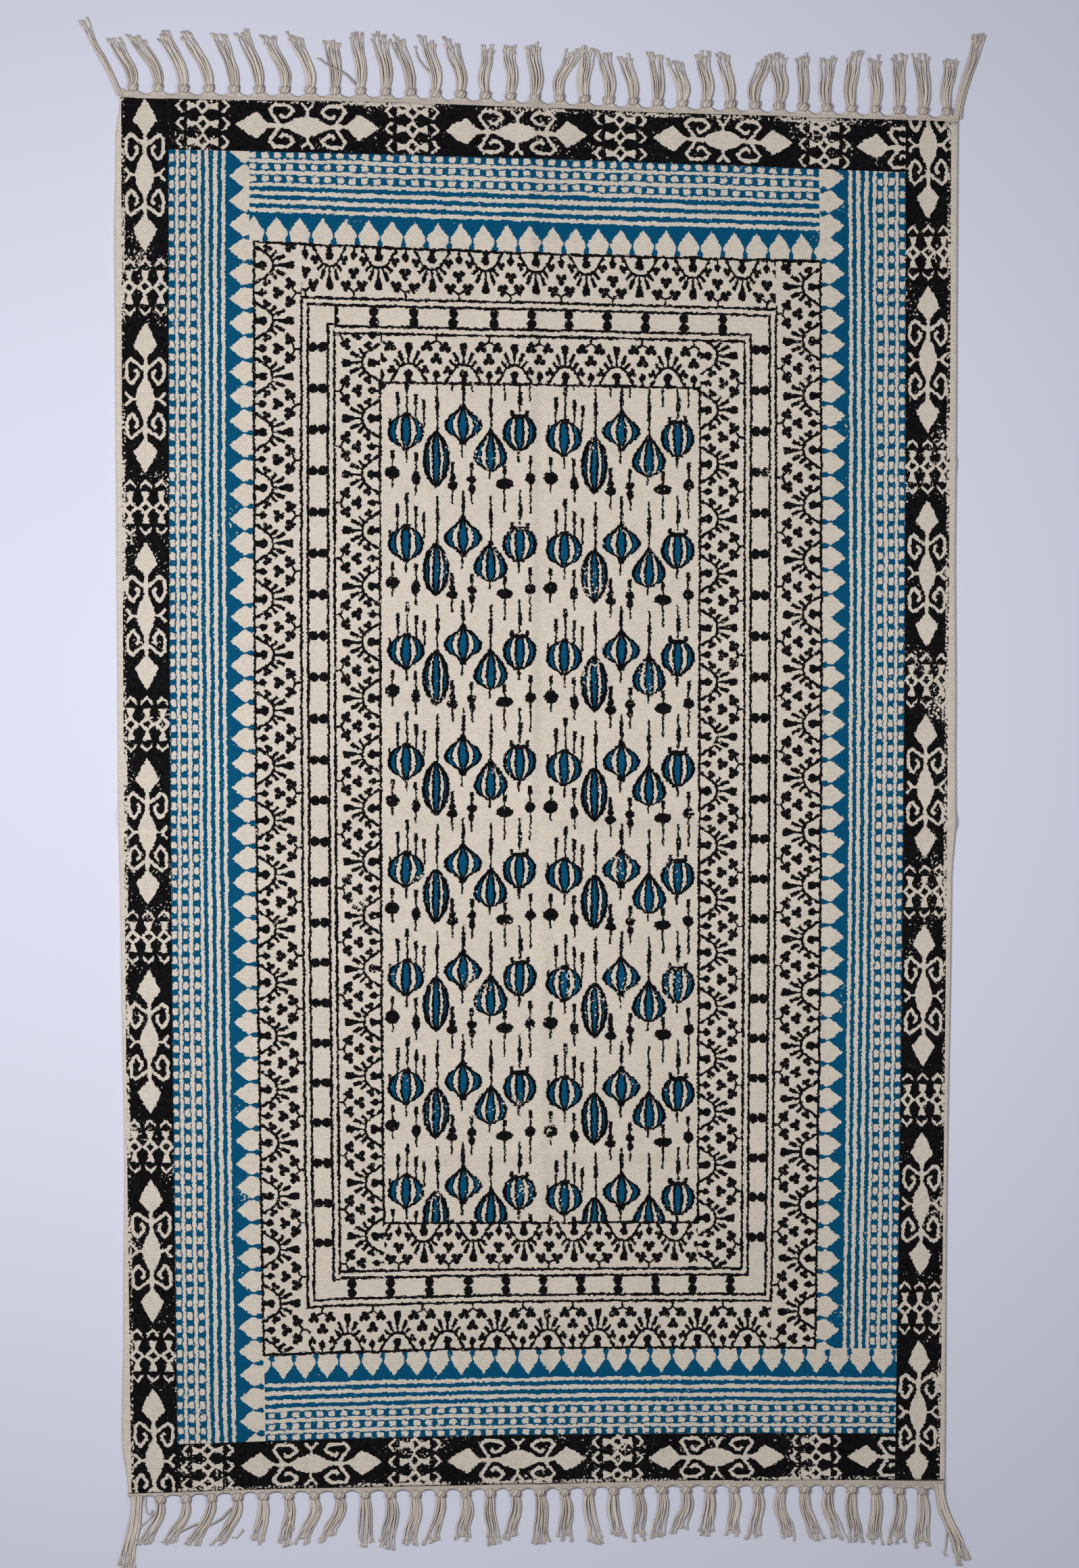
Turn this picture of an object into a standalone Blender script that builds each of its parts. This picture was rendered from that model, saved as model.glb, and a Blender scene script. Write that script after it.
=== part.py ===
"""Block-printed cotton dhurrie, lying flat: one woven cloth and its two knotted fringes.

Metres, +Z up, +Y towards the rug's upper end. The floor is z = 0, and the origin lies on it,
under the middle of everything that the rug and its fringes cover.
"""
import math
import random
from collections import namedtuple

import bmesh
import bpy

MM = 0.001

# The woven cloth: nominal cut size, and its corners where it lies, from the cloth's middle
CLOTH_WIDTH = 915 * MM
CLOTH_LENGTH = 1500 * MM
CLOTH_THICKNESS = 3.5 * MM
BOTTOM_LEFT = (-445 * MM, -757 * MM)
BOTTOM_RIGHT = (442.5 * MM, -743 * MM)
TOP_LEFT = (-454 * MM, 761 * MM)
TOP_RIGHT = (457 * MM, 735 * MM)

# How far each edge strays from the straight line between its corners, outwards.
# Columns: share of the edge from its left or lower end, bow in millimetres.
LEFT_BOW = [(0, 0), (0.04, 6.5), (0.13, 4), (0.24, 2), (0.39, 4.5), (0.5, 6.5), (0.9, 7), (0.97, 5), (1, 0)]
RIGHT_BOW = [(0, 0), (0.18, -1), (0.44, 1), (0.49, 5), (0.55, 4), (0.7, 1.5), (1, 0)]
TOP_BOW = [(0, 0), (0.34, 3.3), (0.5, 2.2), (0.66, 0.6), (1, 0)]
BOTTOM_BOW = [(0, 0), (0.2, -2.6), (0.5, -3.4), (0.68, -4.7), (0.84, -3.5), (1, 0)]

# The corded selvedge: columns are millimetres in from the edge, rise over the plain cloth
SELVEDGE = [(0, -0.6), (2.5, 0.8), (7, 0)]

# Folds that were never pressed out. "along" runs up the rug and "across" from side to side.
# Places are millimetres from the lower left corner of the cut cloth, heights are millimetres.
Crease = namedtuple("Crease", "runs at start end height")
CREASES = [
    Crease("along", 451, 620, 1500, 3.6),
    Crease("along", 464, 0, 760, 2.6),
    Crease("across", 727, 0, 915, 3.2),
    Crease("across", 1122, 380, 915, 1.8),
    Crease("across", 360, 60, 860, 1.8),
]
CREASE_HALF_WIDTH = 14 * MM
CREASE_FADE = 120 * MM
CREASE_STEP = 7 * MM
PLAIN_STEP = 66 * MM

# The heading: the narrow unprinted strip that carries the knots
HEADING_GAP = 0.3 * MM
HEADING_THICKNESS = 2.9 * MM
HEADING_LIFT = 0.3 * MM

# A knot is three six-sided rings. Columns: millimetres outwards from its middle, width, height.
KNOT_RINGS = [(-4.5, 5.5, 4.0), (0, 9.5, 6.4), (4.5, 8.0, 4.6)]
KNOT_PAST_HEADING = 2.5 * MM
CORNER_KNOT_OUT = 5.4 * MM
KNOT_SECTION = [(-0.32, 0.0), (0.32, 0.0), (0.5, 0.45), (0.28, 1.0), (-0.28, 1.0), (-0.5, 0.45)]

# Three locks leave each knot and lie on the floor.
# Columns: share of the lock's length, splay of the outer locks, width, height, lift; millimetres.
LOCK_RINGS = [
    (0.0, 2.7, 2.4, 2.4, 0.8),
    (0.14, 4.7, 3.9, 3.6, 0.0),
    (0.5, 5.5, 4.4, 3.1, 0.0),
    (1.0, 5.9, 4.3, 2.2, 0.0),
]
LOCK_START = 2.0 * MM
LOCK_CURVE = 1.5
LOCK_LENGTH_SPREAD = 3 * MM

# Each fringe. knots_from, knots_to: where its first and last knot sit, in millimetres from the
# cloth's middle; drift: how far the middle knots have crept to the right; heading: width of the
# heading at its left and right end; lies: how each tassel lies, left to right, as (lean of its
# tip, length); corners: the same for the loose bundle at each corner, after its place.
Fringe = namedtuple("Fringe", "edge outwards knots_from knots_to drift heading lies corners")
TOP_FRINGE = Fringe(
    "top", 1, -440, 445, 8, (7, 5.5),
    [(-21, 53), (-29, 59), (-24, 62), (-28, 63), (-17, 60), (-21, 65), (-15, 59), (-21, 63), (-2, 58),
     (-5, 65), (-7, 65), (-12, 62), (-12, 62), (-13, 62), (3, 55), (0, 56), (3, 61), (10, 53), (4, 57),
     (-3, 55), (-9, 51), (-1, 55), (-8, 48), (-1, 56), (-10, 57), (9, 54), (1, 57), (0, 58), (4, 57),
     (5, 63), (0, 59), (0, 63), (-2, 62), (4, 58)],
    [(-454, -44, 84), (456, 26, 92)],
)
BOTTOM_FRINGE = Fringe(
    "bottom", -1, -410, 418, 12, (4, 8.5),
    [(-18, 48), (-22, 51), (-24, 51), (-24, 51), (-9, 53), (-5, 55), (-15, 53), (-17, 50), (-1, 56),
     (-4, 59), (-6, 55), (-13, 54), (-5, 51), (4, 56), (-7, 51), (0, 56), (1, 53), (10, 57), (5, 53),
     (2, 54), (-5, 51), (-11, 47), (-5, 50), (-3, 50), (-6, 53), (9, 54), (14, 54), (13, 56), (5, 57),
     (-1, 59), (-3, 57), (1, 60)],
    [(-436, -15, 87), (436, 28, 86)],
)

# Colours as linear light
PRINTED_CLOTH_COLOUR = (0.47, 0.46, 0.42, 1)
CREAM_YARN_COLOUR = (0.60, 0.54, 0.45, 1)


def cotton(name, colour):
    """Matt undyed or printed cotton."""
    material = bpy.data.materials.new(name)
    material.use_nodes = True
    shader = material.node_tree.nodes["Principled BSDF"]
    shader.inputs["Base Color"].default_value = colour
    shader.inputs["Roughness"].default_value = 0.95
    shader.inputs["Metallic"].default_value = 0
    return material


def read_table(rows, share):
    """The second column at a share between two rows, eased so that the line has no corners."""
    for (share_0, value_0), (share_1, value_1) in zip(rows, rows[1:]):
        if share <= share_1:
            ease = 0.5 - 0.5 * math.cos(math.pi * (share - share_0) / (share_1 - share_0))
            return value_0 + (value_1 - value_0) * ease
    return rows[-1][1]


def edge_point(edge, share):
    """A point on one edge of the cloth as it lies."""
    start, end, bow, outwards = {
        "left": (BOTTOM_LEFT, TOP_LEFT, LEFT_BOW, (-1, 0)),
        "right": (BOTTOM_RIGHT, TOP_RIGHT, RIGHT_BOW, (1, 0)),
        "bottom": (BOTTOM_LEFT, BOTTOM_RIGHT, BOTTOM_BOW, (0, -1)),
        "top": (TOP_LEFT, TOP_RIGHT, TOP_BOW, (0, 1)),
    }[edge]
    stray = read_table(bow, share) * MM
    return [start[i] + (end[i] - start[i]) * share + outwards[i] * stray for i in (0, 1)]


def lay(across, along):
    """Where a point of the cut cloth lies, from its shares of the width and the length."""
    left, right = edge_point("left", along), edge_point("right", along)
    bottom, top = edge_point("bottom", across), edge_point("top", across)
    place = []
    for i in (0, 1):
        sides = left[i] * (1 - across) + right[i] * across
        ends = bottom[i] * (1 - along) + top[i] * along
        low = BOTTOM_LEFT[i] * (1 - across) + BOTTOM_RIGHT[i] * across
        high = TOP_LEFT[i] * (1 - across) + TOP_RIGHT[i] * across
        place.append(sides + ends - low * (1 - along) - high * along)
    return place


def crease_lift(across, along):
    """How far the folds hold the cloth off the floor."""
    spot = {"along": along * CLOTH_LENGTH, "across": across * CLOTH_WIDTH}
    lift = 0
    for crease in CREASES:
        other = "across" if crease.runs == "along" else "along"
        aside = abs(spot[other] - crease.at * MM) / CREASE_HALF_WIDTH
        inside = min(spot[crease.runs] - crease.start * MM, crease.end * MM - spot[crease.runs])
        full = CLOTH_LENGTH if crease.runs == "along" else CLOTH_WIDTH
        open_ended = crease.start == 0 and spot[crease.runs] < full / 2
        open_ended = open_ended or (crease.end * MM >= full and spot[crease.runs] > full / 2)
        strength = 1 if open_ended else max(0, min(1, inside / CREASE_FADE))
        if aside < 1:
            lift = max(lift, crease.height * MM * strength * math.cos(aside * math.pi / 2) ** 2)
    return lift


def stations(length, across_these, extra):
    """Places of the grid lines: close together over the creases, wide apart between them."""
    marks = {0, length} | set(extra)
    for crease in CREASES:
        if crease.runs != across_these:
            for step in (-2, -1, 0, 1, 2):
                marks.add(round(crease.at * MM / CREASE_STEP + step) * CREASE_STEP)
    count = round(length / PLAIN_STEP)
    for i in range(count + 1):
        mark = length * i / count
        if min(abs(mark - other) for other in marks) > PLAIN_STEP / 3:
            marks.add(mark)
    return [mark / length for mark in sorted(marks)]


def closed_sheet(name, grid, material):
    """A closed solid from a grid of (x, y, underside, top) points, left to right in each row."""
    mesh = bmesh.new()
    under = [[mesh.verts.new((x, y, low)) for x, y, low, top in row] for row in grid]
    over = [[mesh.verts.new((x, y, top)) for x, y, low, top in row] for row in grid]
    rows, columns = len(grid), len(grid[0])
    for j in range(rows - 1):
        for i in range(columns - 1):
            mesh.faces.new((over[j][i], over[j][i + 1], over[j + 1][i + 1], over[j + 1][i]))
            mesh.faces.new((under[j][i], under[j + 1][i], under[j + 1][i + 1], under[j][i + 1]))
    rim = [(0, i) for i in range(columns)] + [(j, columns - 1) for j in range(1, rows)]
    rim += [(rows - 1, i) for i in range(columns - 2, -1, -1)] + [(j, 0) for j in range(rows - 2, 0, -1)]
    for (j, i), (n, m) in zip(rim, rim[1:] + rim[:1]):
        mesh.faces.new((under[j][i], under[n][m], over[n][m], over[j][i]))
    return finish_mesh(name, mesh, material)


def finish_mesh(name, mesh, material):
    """Turn the work mesh into a named object with its material."""
    bmesh.ops.recalc_face_normals(mesh, faces=mesh.faces)
    data = bpy.data.meshes.new(name)
    mesh.to_mesh(data)
    mesh.free()
    data.materials.append(material)
    thing = bpy.data.objects.new(name, data)
    bpy.context.scene.collection.objects.link(thing)
    return thing


def make_body(across_marks):
    """The woven cloth: one sheet with its bowed outline, corded selvedges and soft folds."""
    along_marks = stations(CLOTH_LENGTH, "along", [])
    rise = [(inset * MM, height * MM) for inset, height in SELVEDGE]
    grid = []
    for along in along_marks:
        row = []
        for across in across_marks:
            x, y = lay(across, along)
            inset = min(across, 1 - across) * CLOTH_WIDTH
            low = crease_lift(across, along)
            row.append((x, y, low, low + CLOTH_THICKNESS + read_table(rise, inset)))
        grid.append(row)
    return closed_sheet("rug_body", grid, cotton("printed_cotton", PRINTED_CLOTH_COLOUR))


def add_loft(mesh, rings):
    """Add one closed tube through rings of equal point counts."""
    loops = [[mesh.verts.new(point) for point in ring] for ring in rings]
    sides = len(loops[0])
    for loop, after in zip(loops, loops[1:]):
        for k in range(sides):
            mesh.faces.new((loop[k], loop[(k + 1) % sides], after[(k + 1) % sides], after[k]))
    mesh.faces.new(loops[0][::-1])
    mesh.faces.new(loops[-1])


def add_knot(mesh, middle, outwards):
    """The lumpy overhand knot that gathers one tassel's warps against the heading."""
    rings = []
    for out, width, height in KNOT_RINGS:
        y = middle[1] + outwards * out * MM
        rings.append([(middle[0] + u * width * MM, y, v * height * MM) for u, v in KNOT_SECTION])
    add_loft(mesh, rings)


def add_lock(mesh, root, outwards, side, lean, length, curve):
    """One three-sided lock that leaves the knot and bends towards its lean on the floor."""
    rings = []
    for share, splay, width, height, lift in LOCK_RINGS:
        forward = (LOCK_START + (length - LOCK_START) * share) * outwards
        slope = curve * lean * max(share, 0.01) ** (curve - 1)
        size = math.hypot(slope, length)
        normal = (length / size, -outwards * slope / size)
        centre_x = root[0] + lean * share ** curve + normal[0] * side * splay * MM
        centre_y = root[1] + forward + normal[1] * side * splay * MM
        half_x, half_y = (normal[i] * width * MM / 2 for i in (0, 1))
        rings.append([
            (centre_x - half_x, centre_y - half_y, lift * MM),
            (centre_x + half_x, centre_y + half_y, lift * MM),
            (centre_x, centre_y, (lift + height) * MM),
        ])
    add_loft(mesh, rings)


def add_tassel(mesh, root, outwards, lean, length, curve, unevenness):
    """A knot and its three locks, the outer two a little shorter or longer than the middle one."""
    add_knot(mesh, root, outwards)
    for side in (-1, 0, 1):
        stray = unevenness.uniform(-LOCK_LENGTH_SPREAD, 0) if side else 0
        add_lock(mesh, root, outwards, side, lean * MM, length * MM + stray, curve)


def edge_y(fringe, x):
    """Height of the cloth's end edge at a place across it, with its share of the edge."""
    left, right = edge_point(fringe.edge, 0)[0], edge_point(fringe.edge, 1)[0]
    share = min(1, max(0, (x - left) / (right - left)))
    return edge_point(fringe.edge, share)[1], share


def heading_width(fringe, share):
    """Width of the unprinted heading at a share of the edge."""
    return (fringe.heading[0] * (1 - share) + fringe.heading[1] * share) * MM


def make_fringe(fringe, across_marks, material, unevenness):
    """The heading strip with every knot and lock of one end fused to it."""
    grid = [[], []]
    along = 1 if fringe.outwards > 0 else 0
    for across in across_marks:
        x, y = edge_point(fringe.edge, across)
        low = HEADING_LIFT + crease_lift(across, along)
        for row, offset in zip(grid, (HEADING_GAP, HEADING_GAP + heading_width(fringe, across))):
            row.append((x, y + fringe.outwards * offset, low, low + HEADING_THICKNESS))
    heading = closed_sheet("fringe_" + fringe.edge, grid, material)

    mesh = bmesh.new()
    gaps = len(fringe.lies) - 1
    for k, (lean, length) in enumerate(fringe.lies):
        even = fringe.knots_from + (fringe.knots_to - fringe.knots_from) * k / gaps
        x = (even + fringe.drift * math.sin(math.pi * k / gaps)) * MM
        y, share = edge_y(fringe, x)
        out = HEADING_GAP + heading_width(fringe, share) + KNOT_PAST_HEADING
        add_tassel(mesh, (x, y + fringe.outwards * out), fringe.outwards, lean, length,
                   LOCK_CURVE, unevenness)
    for x, lean, length in fringe.corners:
        y, share = edge_y(fringe, x * MM)
        add_tassel(mesh, (x * MM, y + fringe.outwards * CORNER_KNOT_OUT), fringe.outwards, lean, length,
                   1, unevenness)
    locks = finish_mesh("locks_" + fringe.edge, mesh, material)
    locks.hide_render = True
    locks.display_type = "WIRE"

    union = heading.modifiers.new("knots_and_locks", "BOOLEAN")
    union.operation = "UNION"
    union.solver = "EXACT"
    union.use_self = True
    union.object = locks
    return heading, locks


def centre_over_origin(things):
    """Carry everything by one empty, so that the origin is under the middle of it all."""
    spots = [vertex.co for thing in things for vertex in thing.data.vertices]
    carrier = bpy.data.objects.new("rug", None)
    bpy.context.scene.collection.objects.link(carrier)
    for i in (0, 1):
        carrier.location[i] = -(min(spot[i] for spot in spots) + max(spot[i] for spot in spots)) / 2
    for thing in things:
        thing.parent = carrier
    return carrier


def main():
    for thing in list(bpy.data.objects):
        bpy.data.objects.remove(thing, do_unlink=True)
    insets = [inset * MM for inset, rise in SELVEDGE[1:]]
    across_marks = stations(CLOTH_WIDTH, "across", insets + [CLOTH_WIDTH - inset for inset in insets])
    unevenness = random.Random(7)
    yarn = cotton("cream_yarn", CREAM_YARN_COLOUR)
    things = [make_body(across_marks)]
    for fringe in (TOP_FRINGE, BOTTOM_FRINGE):
        things += make_fringe(fringe, across_marks, yarn, unevenness)
    centre_over_origin(things)


main()
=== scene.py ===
# %% [markdown]
# A dhurrie is a flat woven cotton rug. This one was woven in cream, printed by hand with carved
# wooden blocks in black and blue, and its warps were knotted into a fringe at both ends.
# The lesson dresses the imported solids: first the cloth and its print, then the fringes, then the
# light. Everything is in metres, and `MM` turns the maker's millimetres into metres.

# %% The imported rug
import math
import random

import bpy
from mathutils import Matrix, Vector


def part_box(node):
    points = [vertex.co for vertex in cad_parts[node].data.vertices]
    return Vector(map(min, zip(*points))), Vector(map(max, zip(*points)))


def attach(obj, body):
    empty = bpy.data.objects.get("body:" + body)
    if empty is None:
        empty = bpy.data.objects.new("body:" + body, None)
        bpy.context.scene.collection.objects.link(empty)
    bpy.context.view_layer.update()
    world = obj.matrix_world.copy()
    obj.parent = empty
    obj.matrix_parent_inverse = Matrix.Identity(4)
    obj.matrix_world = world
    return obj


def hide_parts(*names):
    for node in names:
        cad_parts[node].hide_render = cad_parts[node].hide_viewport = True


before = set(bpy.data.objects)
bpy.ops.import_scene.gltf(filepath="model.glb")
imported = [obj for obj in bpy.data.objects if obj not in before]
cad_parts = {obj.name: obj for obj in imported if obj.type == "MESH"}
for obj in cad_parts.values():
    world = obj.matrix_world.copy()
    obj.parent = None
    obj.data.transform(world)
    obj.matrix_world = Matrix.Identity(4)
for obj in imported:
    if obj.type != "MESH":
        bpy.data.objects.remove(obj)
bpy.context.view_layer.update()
MM = 0.001
print("nodes:", sorted(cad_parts))

# %% [markdown]
# The rug never lies as a true rectangle: its edges bow and its corners wander. The solids were
# laid out from four corners and a short table of bows for each edge, so the same values are used
# here, and the printed cloth covers its solid exactly.

# %% The cloth as it lies
CLOTH_WIDTH = 915
CLOTH_LENGTH = 1500
CLOTH_THICKNESS = 3.5
BOTTOM_LEFT = (-445, -757)
BOTTOM_RIGHT = (442.5, -743)
TOP_LEFT = (-454, 761)
TOP_RIGHT = (457, 735)
# Columns: share of the edge from its left or lower end, bow outwards in millimetres
LEFT_BOW = [(0, 0), (0.04, 6.5), (0.13, 4), (0.24, 2), (0.39, 4.5), (0.5, 6.5), (0.9, 7), (0.97, 5), (1, 0)]
RIGHT_BOW = [(0, 0), (0.18, -1), (0.44, 1), (0.49, 5), (0.55, 4), (0.7, 1.5), (1, 0)]
TOP_BOW = [(0, 0), (0.34, 3.3), (0.5, 2.2), (0.66, 0.6), (1, 0)]
BOTTOM_BOW = [(0, 0), (0.2, -2.6), (0.5, -3.4), (0.68, -4.7), (0.84, -3.5), (1, 0)]
EDGES = {
    "left": (BOTTOM_LEFT, TOP_LEFT, LEFT_BOW, (-1, 0)),
    "right": (BOTTOM_RIGHT, TOP_RIGHT, RIGHT_BOW, (1, 0)),
    "bottom": (BOTTOM_LEFT, BOTTOM_RIGHT, BOTTOM_BOW, (0, -1)),
    "top": (TOP_LEFT, TOP_RIGHT, TOP_BOW, (0, 1)),
}


def read_table(rows, share):
    """The second column at a share, eased from one row to the next."""
    for (share_0, value_0), (share_1, value_1) in zip(rows, rows[1:]):
        if share <= share_1:
            part = max(0, (share - share_0) / (share_1 - share_0))
            return value_0 + (value_1 - value_0) * (0.5 - 0.5 * math.cos(math.pi * part))
    return rows[-1][1]


def edge_point(edge, share):
    """A point on one edge of the cloth."""
    start, end, bow, outwards = EDGES[edge]
    stray = read_table(bow, share)
    return [start[i] + (end[i] - start[i]) * share + outwards[i] * stray for i in (0, 1)]


def edge_line(edge, place):
    """Where an edge runs: x of a side edge at a height, or y of an end edge at a place across."""
    along = 1 if edge in ("left", "right") else 0
    start, end = EDGES[edge][0][along], EDGES[edge][1][along]
    share = min(1, max(0, (place - start) / (end - start)))
    return edge_point(edge, share)[1 - along]


EDGE_STEPS = 400
cloth_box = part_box("rug_body")
edge_shares = [i / EDGE_STEPS for i in range(EDGE_STEPS + 1)]
leftmost = min(edge_point("left", share)[0] for share in edge_shares)
highest = max(edge_point("top", share)[1] for share in edge_shares)
MIDDLE = (cloth_box[0][0] / MM - leftmost, cloth_box[1][1] / MM - highest)
print("the cloth's middle lies at", [round(value, 2) for value in MIDDLE], "mm")

# %% [markdown]
# The printer stamps one band after another, from the outside inwards: a black strip, a blue band,
# a flower ring, a ladder, a second flower ring and the field. The lines between them are the
# skeleton of the print. Each line is given where it was measured, at three places, because a hand
# print is never straight.

# %% The lines between the bands
# x of each upright line near the top, at the middle and near the bottom, in millimetres
UPRIGHTS = {
    "black left": (-452.3, -449.0, -442.8),
    "blue left": (-401.2, -398.3, -392.0),
    "flowers left": (-308.2, -305.2, -296.4),
    "ladder left": (-256.0, -255.2, -247.9),
    "posies left": (-220.7, -218.8, -212.6),
    "field left": (-169.9, -170.3, -164.4),
    "field right": (176.5, 175.8, 173.2),
    "posies right": (225.1, 224.3, 220.7),
    "ladder right": (258.9, 258.2, 253.0),
    "flowers right": (306.7, 307.8, 300.8),
    "blue right": (400.1, 397.2, 389.8),
    "black right": (449.4, 445.0, 438.4),
}
# y of each level line at the left, in the middle and at the right
LEVELS = {
    "black bottom": (-753.2, -745.8, -742.1),
    "blue bottom": (-700.9, -692.8, -691.4),
    "flowers bottom": (-607.5, -598.7, -598.7),
    "ladder bottom": (-557.5, -547.6, -548.7),
    "posies bottom": (-517.8, -512.6, -512.3),
    "field bottom": (-464.1, -462.3, -461.9),
    "field top": (452.7, 448.7, 441.3),
    "posies top": (506.8, 500.9, 493.5),
    "ladder top": (545.4, 537.7, 528.8),
    "flowers top": (605.3, 591.4, 582.5),
    "blue top": (703.1, 694.3, 682.5),
    "black top": (760.5, 749.5, 735.5),
}
UPRIGHT_STATIONS = (640, -60, -650)
LEVEL_STATIONS = (-330, 0, 330)


def three_point(stations, values, place):
    """A smooth line through three measured values."""
    a, b, c = stations
    p, q, r = values
    return (p * (place - b) * (place - c) / ((a - b) * (a - c))
            + q * (place - a) * (place - c) / ((b - a) * (b - c))
            + r * (place - a) * (place - b) / ((c - a) * (c - b)))


def upright_x(name, y):
    if name in ("left", "right"):
        return edge_line(name, y)
    return three_point(UPRIGHT_STATIONS, UPRIGHTS[name], y)


def level_y(name, x):
    if name in ("bottom", "top"):
        return edge_line(name, x)
    return three_point(LEVEL_STATIONS, LEVELS[name], x)


UPRIGHT_ORDER = ["left"] + list(UPRIGHTS) + ["right"]
LEVEL_ORDER = ["bottom"] + list(LEVELS) + ["top"]
print(len(UPRIGHT_ORDER), "upright lines and", len(LEVEL_ORDER), "level lines")

# %% [markdown]
# The cloth is one closed sheet on a grid that follows those lines, so each face belongs to just
# one band and can wear that band's material. Extra lines run close together over the fold
# creases, which stand a little off the floor, and at the corded selvedges.

# %% The grid
# Columns: the way it runs, its place, start and end from the cut cloth's lower left corner, height
CREASES = [
    ("along", 451, 620, 1500, 3.6),
    ("along", 464, 0, 760, 2.6),
    ("across", 727, 0, 915, 3.2),
    ("across", 1122, 380, 915, 1.8),
    ("across", 360, 60, 860, 1.8),
]
CREASE_HALF_WIDTH = 14
CREASE_FADE = 120
SELVEDGE = [(0, -0.6), (2.5, 0.8), (5, 0.5), (7, 0)]
GRID_STEP = 8
GRID_ROUNDS = 4
CREASE_STEP = 3.5
CREASE_MARGIN = 3
RIM_STEP = 2.5
RIM_WIDTH = 9


def crease_lift(across, along):
    """How far the folds hold the cloth off the floor, at shares of its width and length."""
    spot = {"along": along * CLOTH_LENGTH, "across": across * CLOTH_WIDTH}
    lift = 0
    for runs, at, start, end, height in CREASES:
        other = "across" if runs == "along" else "along"
        full = CLOTH_LENGTH if runs == "along" else CLOTH_WIDTH
        aside = abs(spot[other] - at) / CREASE_HALF_WIDTH
        from_start = spot[runs] - start if start > 0 else CREASE_FADE
        to_end = end - spot[runs] if end < full else CREASE_FADE
        strength = max(0, min(1, from_start / CREASE_FADE, to_end / CREASE_FADE))
        if aside < 1:
            lift = max(lift, height * strength * math.cos(aside * math.pi / 2) ** 2)
    return lift


def stations(order, line_at, full, runs):
    """Grid stations as (band number, share of the band), closer together over the creases."""
    middles = [line_at(name, 0) for name in order]
    folds = [at - full / 2 for direction, at, *rest in CREASES if direction == runs]
    marks = []
    for band, (low, high) in enumerate(zip(middles, middles[1:])):
        place = low
        while place < high - 1:
            marks.append((band, (place - low) / (high - low)))
            near = any(abs(place - fold) < CREASE_HALF_WIDTH + CREASE_MARGIN for fold in folds)
            rim = min(place - middles[0], middles[-1] - place) < RIM_WIDTH
            place += RIM_STEP if rim else CREASE_STEP if near else GRID_STEP
    return marks + [(len(order) - 2, 1.0)]


across_stations = stations(UPRIGHT_ORDER, upright_x, CLOTH_WIDTH, "along")
along_stations = stations(LEVEL_ORDER, level_y, CLOTH_LENGTH, "across")
print("grid:", len(across_stations), "by", len(along_stations))


def grid_place(across, along):
    """Where a station across meets a station along, in millimetres from the cloth's middle."""
    (column, share_x), (row, share_y) = across, along
    x = y = 0.0
    for _ in range(GRID_ROUNDS):
        left, right = upright_x(UPRIGHT_ORDER[column], y), upright_x(UPRIGHT_ORDER[column + 1], y)
        x = left + (right - left) * share_x
        low, high = level_y(LEVEL_ORDER[row], x), level_y(LEVEL_ORDER[row + 1], x)
        y = low + (high - low) * share_y
    return x, y


# %% [markdown]
# Printing by numbers: a chart says, at every point, whether ink lies there. Blender's Math nodes
# can work that out, but wiring hundreds by hand is slow to read. This small class lets Python's
# own signs add the nodes, so `abs(x) < 3` puts an Absolute and a Less Than node in the material.


# %% Numbers made of nodes
def sign(operation, swapped=False):
    """A method that makes one of Python's signs add a Math node."""
    def method(*values):
        return reckon(operation, *(values[::-1] if swapped else values))

    return method


class Number:
    """A number that the nodes work out at each point, in millimetres where it is a place."""

    def __init__(self, socket):
        self.socket = socket

    __abs__ = sign("ABSOLUTE")
    __add__ = __radd__ = sign("ADD")
    __sub__ = sign("SUBTRACT")
    __rsub__ = sign("SUBTRACT", swapped=True)
    __mul__ = __rmul__ = sign("MULTIPLY")
    __truediv__ = sign("DIVIDE")
    __lt__ = sign("LESS_THAN")
    __gt__ = sign("GREATER_THAN")


def fill(socket, value):
    """Join an input to a Number or a socket, or set it to a plain value."""
    value = value.socket if isinstance(value, Number) else value
    if isinstance(value, bpy.types.NodeSocket):
        socket.id_data.links.new(value, socket)
    else:
        socket.default_value = value


def find_socket(sockets, name):
    return next(socket for socket in sockets if socket.name == name and socket.enabled)


def set_inputs(node, **inputs):
    """Fill a node's inputs, by name with _ for a blank."""
    for name, value in inputs.items():
        fill(find_socket(node.inputs, name.replace("_", " ")), value)
    return node


def add_node(tree, kind, options=(), **inputs):
    """A new node with its options set and its inputs filled."""
    node = tree.nodes.new(kind)
    for option, value in dict(options).items():
        setattr(node, option, value)
    return set_inputs(node, **inputs)


def reckon(operation, *values):
    """One Math node: its inputs are Numbers or plain values."""
    tree = next(value.socket.id_data for value in values if isinstance(value, Number))
    node = add_node(tree, "ShaderNodeMath", {"operation": operation})
    for socket, value in zip(node.inputs, values):
        fill(socket, value)
    return Number(node.outputs[0])


def split(tree, vector):
    """The three parts of a vector or a colour."""
    return [Number(socket) for socket in add_node(tree, "ShaderNodeSeparateXYZ", Vector=vector).outputs]


def join(tree, x, y, z):
    """Three parts as one vector."""
    return add_node(tree, "ShaderNodeCombineXYZ", X=x, Y=y, Z=z).outputs[0]


def new_tree(name, kind, inputs, outputs):
    """A tree of nodes with named sockets: the tree, what comes in, and the node it goes out by."""
    tree = bpy.data.node_groups.new(name, kind)
    for in_out, sockets in (("OUTPUT", outputs), ("INPUT", inputs)):
        for socket, holds in sockets.items():
            tree.interface.new_socket(socket, in_out=in_out, socket_type="NodeSocket" + holds)
    given = {socket.name: Number(socket) for socket in tree.nodes.new("NodeGroupInput").outputs}
    return tree, given, tree.nodes.new("NodeGroupOutput")


# %% [markdown]
# The blocks' figures are put together from a few shapes. Each is one inside and nought outside.

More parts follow.
